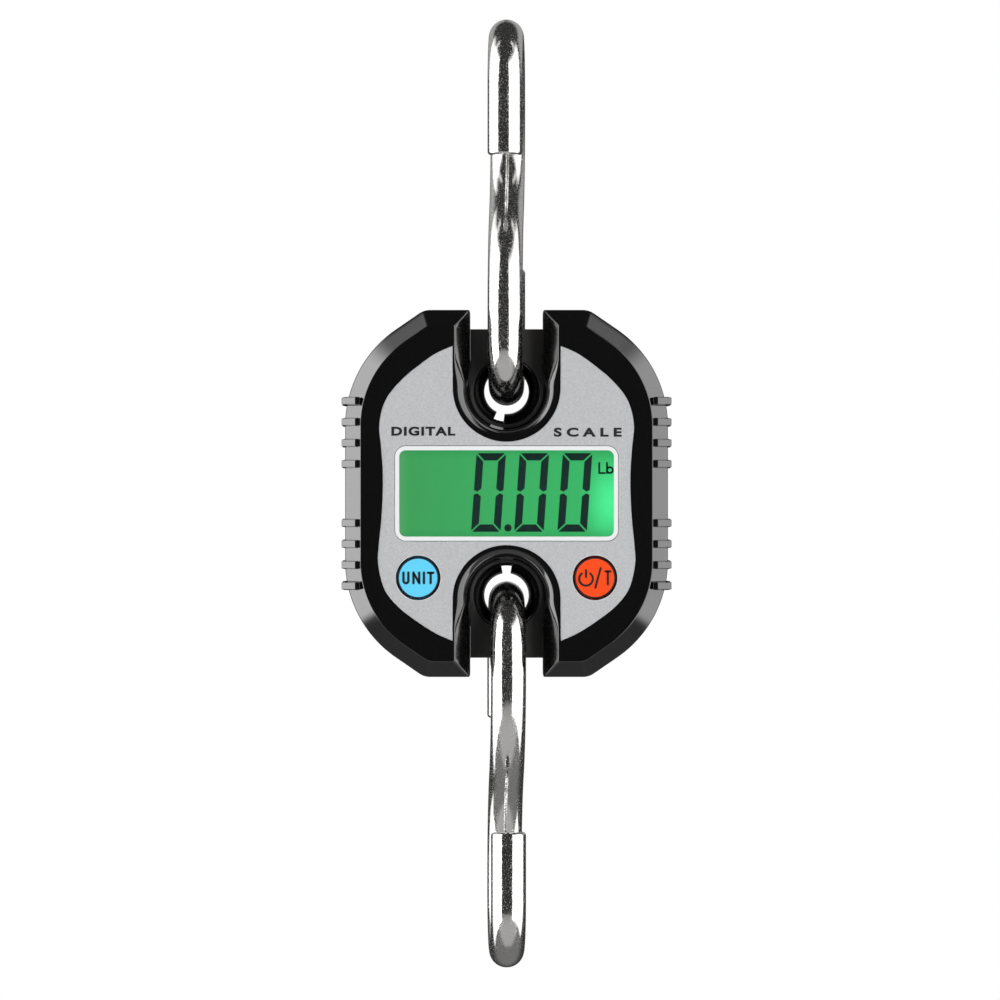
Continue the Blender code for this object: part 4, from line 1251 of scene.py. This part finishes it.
@dataclass
class Wording:
    """A plain printed word on the plate."""

    name: str
    word: str
    centre: tuple[float, float]
    height: float
    width: float
    spacing: float
    weight: float = 0.045
    depth: float = 0.03

    def build(self, plate: FacePlate) -> None:
        """Sets the word in the plain built-in face, stretches it to its width, and lays it on the plate."""
        text = bpy.data.curves.new(self.name, "FONT")
        text.body = self.word
        text.align_x = text.align_y = "CENTER"
        text.space_character = self.spacing
        text.extrude = 0.01
        text.offset = self.weight
        source = bpy.data.objects.new(self.name, text)
        bpy.context.scene.collection.objects.link(source)
        mesh = bpy.data.meshes.new_from_object(source.evaluated_get(bpy.context.evaluated_depsgraph_get()))
        bpy.data.objects.remove(source, do_unlink=True)
        flat = np.empty(len(mesh.vertices) * 3)
        mesh.vertices.foreach_get("co", flat)
        flat = flat.reshape(-1, 3)
        low, high = flat.min(0), flat.max(0)
        share = (flat - (low + high) / 2) / (high - low)
        x = self.centre[0] + share[:, 0] * self.width
        z = self.centre[1] + share[:, 1] * self.height
        y = plate.front - share[:, 2] * self.depth
        placed = np.stack([x, y, z], -1) * MM + (0.0, 0.0, CASE_DATUM.height)
        mesh.vertices.foreach_set("co", placed.ravel())
        mesh.materials.clear()
        mesh.materials.append(BLACK_INK.material())
        weld(mesh, 1e-6)
        made = bpy.data.objects.new(self.name, mesh)
        bpy.context.scene.collection.objects.link(made)
        settle(made, BLACK_INK, "case")


# ------------------------------------------------------------------ eyes and hooks


@dataclass
class Bush:
    """A split ring in an eye: a crowned bore, a collar, and rounded edges all round."""

    end: End
    turn: float
    bore: float = 5.6
    crown: float = 8.6
    neck: float = 8.2
    collar: float = 9.3
    half: float = 5.9
    grip: float = 3.88
    step: float = 4.2
    soft: float = 0.25
    web: tuple[float, float, float] = (7.55, 8.9, 3.2)
    slot: float = math.radians(20.0)
    eye: float = 25.7

    def section(self) -> Array:
        """The ring's section as (radius, along) pairs. The bore is an arc of the crown's radius."""
        along = np.linspace(self.half - 0.35, -self.half + 0.35, 15)
        bore = self.bore + self.crown - np.sqrt(self.crown**2 - along**2)
        far = self.bore + self.crown - math.sqrt(self.crown**2 - self.half**2)
        inner = np.stack([bore, along], -1)
        corner = [(far - 0.2, -self.half), (self.neck, -self.half), (self.neck, -self.step)]
        lead = rounded(np.array(corner), np.array([0, 0.35, 0]), 4)
        step = [(self.neck, -self.grip), (self.collar, -self.grip), (self.collar, self.grip), (self.neck, self.grip)]
        rear = [(lead * (1, -1))[::-1], [(far, self.half)]]
        return distinct(np.vstack([inner, [(far, -self.half)], lead, step, *rear]))

    def swept(self, loops: Array, angles: Array) -> Array:
        """Sections of (radius, along) pairs, each turned about the eye's axis to its own angle."""
        radius, along, angle = loops[..., 0], loops[..., 1], angles[:, None]
        return np.stack([radius * np.cos(angle), along, radius * np.sin(angle) + self.end * self.eye], -1)

    def build(self) -> None:
        """The section swept from one side of the slot to the other, and a thin web that closes the slot's foot."""
        profile = self.section()
        bend = np.linspace(0.0, math.pi / 2, 4)
        ease, inset = self.soft * (1 - np.cos(bend)) / self.neck, self.soft * (1 - np.sin(bend))
        middle = -self.end * math.pi / 2 + self.turn
        start, stop = middle + self.slot / 2, middle + math.tau - self.slot / 2
        angles = np.concatenate([start + ease, np.linspace(start + 0.06, stop - 0.06, 80), (stop - ease)[::-1]])
        insets = np.concatenate([inset, np.zeros(80), inset[::-1]])
        ring = self.swept(np.stack([offset(profile, -shift) for shift in insets]), angles)
        sweep = np.linspace(middle - self.slot / 2 - 0.05, middle + self.slot / 2 + 0.05, 8)
        near, far, half = self.web
        web = rounded(np.array([(near, -half), (far, -half), (far, half), (near, half)]), 0.2, 3)
        bridge = self.swept(np.broadcast_to(web, (len(sweep), *web.shape)), sweep)
        skin = Skin()
        for rows in (ring, bridge):
            skin.grid(rows).cap(rows[0]).cap(rows[-1])
        name = f"{self.end.name.lower()}_bush"
        CASE_DATUM.fit(name, skin, BUSH, name, [name])


@dataclass
class Hook:
    """Round bar bent into an S: a circle carried along two half-circle bends, a shaft of two wide arcs, and
    two short straight tips."""

    end: End
    twist: float
    bar: float = 4.38
    bend: float = 13.5
    near: float = 40.05
    span: float = 61.6
    tip: float = 17.0
    straight: float = 5.0
    tip_edge: float = 0.9
    tip_steps: int = 22
    bend_steps: int = 84
    neck_steps: int = 5
    shaft_steps: int = 36
    edge_steps: int = 7
    sides: int = 56

    def line(self) -> tuple[Array, Array]:
        """The centre line about the near bend's middle.

        Returns:
            Its (y, z) points, and the unit directions along it.
        """
        rise = self.span / 2 - self.straight
        lean = 2 * math.atan(self.bend / rise)
        wide = rise / math.sin(lean)
        tip = np.linspace(self.tip, 0.0, self.tip_steps, endpoint=False)
        turn = np.linspace(0.0, -math.pi, self.bend_steps)
        neck = np.linspace(0.0, self.straight, self.neck_steps)[1:]
        sweep = np.linspace(0.0, lean, self.shaft_steps)[1:]
        straight = [np.stack([np.full(len(z), y), z], -1) for y, z in ((self.bend, tip), (-self.bend, neck))]
        curve = self.bend * np.stack([np.cos(turn), np.sin(turn)], -1)
        shaft = np.stack([wide * (1 - np.cos(sweep)) - self.bend, self.straight + wide * np.sin(sweep)], -1)
        half = np.vstack([straight[0], curve, straight[1], shaft])
        down, up = -math.pi / 2, -1.5 * math.pi
        headings = [np.full(len(tip), down), turn + down, np.full(len(neck), up), up - sweep]
        way = np.stack([np.cos(np.concatenate(headings)), np.sin(np.concatenate(headings))], -1)
        points = np.vstack([half, (half[:-1] * -1 + (0.0, self.span))[::-1]])
        return points, np.vstack([way, way[:-1][::-1]])

    def build(self) -> None:
        """The bar, with rounded tips that close in a pole."""
        points, way = self.line()
        bend = np.linspace(0.0, math.pi / 2, self.edge_steps)
        radius = self.bar - self.tip_edge * (1 - np.sin(bend))
        shift = self.tip_edge * (1 - np.cos(bend))
        head = points[0] + way[0] * shift[:, None]
        tail = (points[-1] - way[-1] * shift[:, None])[::-1]
        poles = np.zeros(1)
        line = np.vstack([points[:1], head, points[2:-2], tail, points[-1:]])
        first, last = (np.tile(way[i], (self.edge_steps + 1, 1)) for i in (0, -1))
        ways = np.vstack([first, way[2:-2], last])
        radii = np.concatenate([poles, radius, np.full(len(points) - 4, self.bar), radius[::-1], poles])
        across = np.stack([ways[:, 1], -ways[:, 0]], -1)
        angle = np.linspace(0.0, math.tau, self.sides, endpoint=False)
        x = radii[:, None] * np.cos(angle)
        out = radii[:, None] * np.sin(angle)
        y = line[:, :1] + out * across[:, :1]
        z = line[:, 1:] + out * across[:, 1:]
        cos, sin = math.cos(self.twist), math.sin(self.twist)
        rows = np.stack([x * cos - y * sin, x * sin + y * cos, self.end * (z + self.near)], -1)
        length = np.concatenate([[0.0], np.cumsum(np.linalg.norm(np.diff(line, axis=0), axis=1))])
        skin = Skin().grid(rows)
        skin.bar.append(np.stack([length[:, None] + 0 * x, x, out], -1).reshape(-1, 3))
        name = f"{self.end.name.lower()}_hook"
        CASE_DATUM.fit(name, skin, BAR, name, [name])


# ------------------------------------------------------------------ battery bay and screws


@dataclass
class BatteryBay:
    """The door and, behind it, both cells, their springs and their end caps."""

    door: tuple[float, float] = (27.2, 12.1)
    radius: float = 5.25
    length: float = 43.7
    nub: float = 0.8
    depth: float = 7.75
    apart: float = 5.55
    nub_end: float = 24.4
    slits: tuple[float, ...] = (4.6, -4.6)
    slit: float = 0.35
    tongue: float = 6.0
    ridges: tuple[float, ...] = (11.0, 9.5, 8.0)
    spring_ends: tuple[float, float] = (24.13, 20.57)
    spring_radii: tuple[float, float] = (3.8, 2.0)
    spring_wire: float = 0.33
    spring_turns: int = 4

    def door_loop(self) -> Array:
        """The door's outline, slit twice at its upper edge to free the latch tongue."""
        x, z = self.door
        corners = [(-x, -z), (x, -z), (x, z)]
        low = z - self.tongue
        for left, right in ((middle - self.slit, middle + self.slit) for middle in self.slits):
            corners += [(right, z), (right, low), (left, low), (left, z)]
        radii = np.array([0.9, 0.9, 0.9] + [0.25, 0.3, 0.3, 0.25] * 2 + [0.9])
        return rounded(np.array([*corners, (-x, z)]), radii, 5)

    def build_door(self) -> None:
        """The door with three finger ridges on its tongue and two tabs at its foot."""
        skin = Skin().prism([self.door_loop()], 14.85, 13.35, 0.22)
        for z in self.ridges:
            skin.prism([box_loop((3.1, 0.36), 0.34, (0.0, z))], 15.08, 14.6, 0.18)
        for side in Side:
            skin.prism([box_loop((2.9, 1.1), 0.3, (side * 15.0, -11.4))], 13.5, 12.35, 0.15)
        CASE_DATUM.fit("battery_door", skin, CASING, "battery_door", ["battery_door"])

    def build_cell(self, end: End) -> None:
        """A cell: a sleeved can whose crimp shows at both ends, with its nub."""
        r, top = self.radius, self.nub_end - self.nub
        foot, inner = top - self.length, r - 0.5
        centre = np.array([0.0, self.depth, end * self.apart])
        sleeve = [(inner, foot + 0.05), (r, foot + 0.05), (r, top - 0.05), (inner, top - 0.05), (inner, foot + 0.4)]
        profile = rounded(np.array(sleeve), np.array([0.1, 0.4, 0.4, 0.1, 0.1]), 4)
        profile = np.vstack([profile, profile[:1]]) * (1, end)
        name = f"{end.name.lower()}_battery"
        finish = CellSleeve(f"{name}_sleeve", "battery_skin", end)
        CASE_DATUM.fit(name, Skin().turned(profile, centre, 0, 72), finish, stands_for=[name])
        metal = np.array([(0.0, foot), (3.6, foot), (3.9, foot + 0.2), (r - 0.45, foot + 0.2), (r - 0.45, top - 0.2)])
        nub = np.array([(2.6, top - 0.2), (2.3, top), (1.9, top), (1.9, self.nub_end), (0.0, self.nub_end)])
        can = open_profile(np.vstack([metal, nub]) * (1, end), 0.12)
        CASE_DATUM.fit(f"{name}_can", Skin().turned(can, centre, 0, 56), ZINC)

    def build_spring(self, side: Side) -> None:
        """A conical coil: radius and place along X both run evenly with the angle."""
        share = np.linspace(0.0, 1.0, 260)[:, None]
        angle = math.tau * self.spring_turns * share
        (plate, cell), (wide, narrow) = self.spring_ends, self.spring_radii
        ring = np.linspace(0.0, math.tau, 12, endpoint=False)[None, :]
        radius = wide + (narrow - wide) * share + self.spring_wire * np.cos(ring)
        x = side * (plate + (cell - plate) * share) + self.spring_wire * np.sin(ring)
        y = self.depth + radius * np.cos(angle)
        z = -side * self.apart + radius * np.sin(angle)
        rows = np.stack([x, y, z], -1)
        name = "upper_spring" if side is Side.LEFT else "lower_spring"
        CASE_DATUM.fit(name, Skin().grid(rows).cap(rows[0]).cap(rows[-1]), ZINC, stands_for=[name])

    def build(self) -> None:
        """Everything in the bay, and its door."""
        self.build_door()
        for end in End:
            self.build_cell(end)
        for side in Side:
            self.build_spring(side)


@dataclass
class CaseScrew:
    """A pan-head screw with a cross recess, seen down its counterbore."""

    index: int
    head: float = 9.12
    rise: float = 1.7
    recess: float = 1.0
    arm: float = 0.32
    reach: float = 1.25
    place: tuple[float, float] = (33.0, 24.6)

    def build(self) -> None:
        """The head's rim, its flat top with the cross cut in, and the shank."""
        i, j = ((-1, -1), (-1, 1), (1, -1), (1, 1))[self.index - 1]
        centre = (i * self.place[0], j * self.place[1])
        top = self.head + self.rise
        floor, arm, reach = top - self.recess, self.arm, self.reach
        quarter = np.array([(arm, arm), (arm, reach), (-arm, reach)])
        spins = [(math.cos(a), math.sin(a)) for a in np.arange(4) * math.pi / 2]
        cross = distinct(np.vstack([quarter @ np.array([(c, s), (-s, c)]) for c, s in spins])) + centre
        rim = np.array([(1.6, top), (2.2, top - 0.25), (2.5, top - 0.9), (2.5, self.head), (1.0, self.head)])
        profile = open_profile(np.vstack([rim, [(1.0, -6.9), (0.0, -7.7)]]), 0.3)
        axis = np.array([centre[0], 0.0, centre[1]])
        skin = Skin().turned(profile, axis, 1, 40).flat([circle(centre, 1.6, 40), cross], top)
        skin.walls(cross, [(0.0, top), (-0.08, floor)]).flat([offset(cross, -0.08)], floor)
        name = f"case_screw_{self.index}"
        CASE_DATUM.fit(name, skin, ZINC, stands_for=[name])


@dataclass
class Innards:
    """The solids that stay as they are and only get a finish."""

    finishes: tuple[tuple[Finish, tuple[str, ...]], ...] = (
        (CRYSTAL, ("lcd_glass",)),
        (WHITE, ("backlight", "display_frame")),
        (STRIP, ("contact_strip",)),
        (BOARD, ("circuit_board",)),
        (RESIN, ("controller", "capacitor")),
        (ZINC, ("crystal_can", "board_screw", "cell_screw", "unit_switch", "power_switch")),
        (ZINC, ("bridge_contact", "positive_contact", "negative_contact")),
        (PLUNGER, ("unit_plunger", "power_plunger")),
        (CELL_STEEL, ("load_cell",)),
        (FOIL, ("strain_gauge",)),
        (BLACK, ("negative_lead",)),
        (RED, ("positive_lead", "upper_left", "upper_right", "lower_left", "lower_right")),
    )

    def build(self) -> None:
        """Gives each carried-over solid its material. The names here are how the solids' names begin."""
        for name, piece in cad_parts.items():
            for finish in (made for made, starts in self.finishes if name.startswith(starts)):
                piece.data.materials.clear()
                piece.data.materials.append(finish.material())
                LOG.info("%s keeps its solid, %s", name, finish.name)


# ------------------------------------------------------------------ studio


@dataclass(frozen=True)
class Panel:
    """A soft light panel, as a patch of the sky round the object. Angles are in degrees, and the heading is
    measured from the viewer, positive to the right."""

    heading: tuple[float, float]
    rise: tuple[float, float]
    light: float
    soft: tuple[float, float, float] = (5.0, 6.0, 14.0)

    def glow(self, heading: Signal, rise: Signal) -> Signal:
        """The light from each direction. Its sides, foot and top have their own softness."""
        side, foot, top = (math.radians(a) for a in self.soft)
        low, high = (math.radians(a) for a in self.rise)
        across = heading.within(*(math.radians(a) for a in self.heading), side)
        up = rise.ease(low - foot / 2, low + foot / 2) * rise.ease(high - top / 2, high + top / 2, (1.0, 0.0))
        return across * up * self.light


@dataclass
class Studio:
    """Tall soft panels at both sides with a strip above each, a sheet below, two dim walls behind, a dim room, a
    pale floor, and the camera."""

    panels: tuple[Panel, ...] = (
        Panel((-103.0, -49.0), (-31.0, 43.0), 4.3, (4.0, 5.0, 18.0)),
        Panel((-129.0, -103.0), (-31.0, 43.0), 1.5, (4.0, 5.0, 18.0)),
        Panel((27.0, 103.0), (-33.0, 41.0), 2.7, (4.0, 5.0, 18.0)),
        Panel((103.0, 113.0), (-33.0, 41.0), 1.5, (4.0, 5.0, 18.0)),
        Panel((-96.0, -84.0), (48.0, 66.0), 1.1, (8.0, 10.0, 6.0)),
        Panel((84.0, 96.0), (46.0, 64.0), 1.1, (8.0, 10.0, 6.0)),
        Panel((-75.0, 75.0), (-84.0, -26.0), 0.3, (30.0, 5.0, 5.0)),
        Panel((126.0, 179.0), (7.0, 32.0), 0.38, (8.0, 8.0, 12.0)),
        Panel((-179.0, -126.0), (7.0, 32.0), 0.38, (8.0, 8.0, 12.0)),
    )
    below: float = 0.22
    room: float = 0.042
    floor_height: float = -0.42
    floor_rings: tuple[float, ...] = (1.0, 250.0, 420.0)
    distance: float = 1.6
    view: float = 0.2523
    aim: float = -0.00164
    film: float = 36.0

    def light(self) -> None:
        """The sky: panels in a dim room for what the object sees, plain white for the camera."""
        world = bpy.data.worlds.new("studio")
        bpy.context.scene.world = world
        world.use_nodes = True
        graph = Graph(world.node_tree)
        x, y, z = graph.split(graph.node("ShaderNodeTexCoord", output="Generated"))
        heading = x.heading(-y)
        rise = z.heading((x * x + y * y) ** 0.5)
        total = z.ease(-0.75, -0.3, (self.below, self.room))
        for panel in self.panels:
            total = total + panel.glow(heading, rise)
        seen = graph.node("ShaderNodeLightPath", output="Is Camera Ray")
        strength = total * (1.0 - seen) + seen
        background = graph.node("ShaderNodeBackground", values={"Color": (1.0, 1.0, 1.0), "Strength": strength})
        graph.node("ShaderNodeOutputWorld", values={"Surface": background})

    def lay_floor(self) -> None:
        """A round pale floor well below the hooks."""
        radius = np.array(self.floor_rings)[:, None]
        angle = np.linspace(0.0, math.tau, 96, endpoint=False)
        x, y = radius * np.cos(angle), radius * np.sin(angle)
        rows = np.stack([x, y, np.full(x.shape, (self.floor_height - CASE_DATUM.height) / MM)], -1)
        made = CASE_DATUM.build("floor", Skin().grid(rows).cap(rows[0]), FLOOR)
        made.visible_glossy = False

    def point_camera(self) -> None:
        """In front, a little left of the case's middle and as much below it."""
        data = bpy.data.cameras.new("camera")
        data.sensor_width = self.film
        data.lens = self.film * self.distance / self.view
        data.clip_start = 0.05
        camera = bpy.data.objects.new("camera", data)
        camera.location = (self.aim, -self.distance, CASE_DATUM.height + self.aim)
        camera.rotation_euler = (math.pi / 2, 0.0, 0.0)
        bpy.context.scene.collection.objects.link(camera)
        bpy.context.scene.camera = camera

    def build(self) -> None:
        """The whole studio."""
        bpy.context.scene.view_settings.view_transform = "Standard"
        self.light()
        self.lay_floor()
        self.point_camera()


def main() -> None:
    """Builds the sub-assemblies in order."""
    logging.basicConfig(level=logging.INFO, format="%(name)s: %(message)s")
    plate, casing = FacePlate(), Casing()
    casing.build_front(plate)
    casing.build_rear()
    plate.build(casing.window_loop(), casing.key_loops())
    Display().build(casing)
    for key in (Key("unit", Side.LEFT, BLUE), Key("power", Side.RIGHT, ORANGE)):
        key.build(plate)
    Wording("plate_word_left", "DIGITAL", (-20.8, 15.55), 2.3, 16.0, 1.16).build(plate)
    Wording("plate_word_right", "SCALE", (20.3, 15.3), 2.3, 17.0, 1.6).build(plate)
    for end, turn, twist in ((End.UPPER, -15.5, -1.6), (End.LOWER, 0.0, 2.1)):
        Bush(end, math.radians(turn)).build()
        Hook(end, math.radians(twist)).build()
    BatteryBay().build()
    for index in range(1, 5):
        CaseScrew(index).build()
    Innards().build()
    Studio().build()


if __name__ == "__main__":
    main()
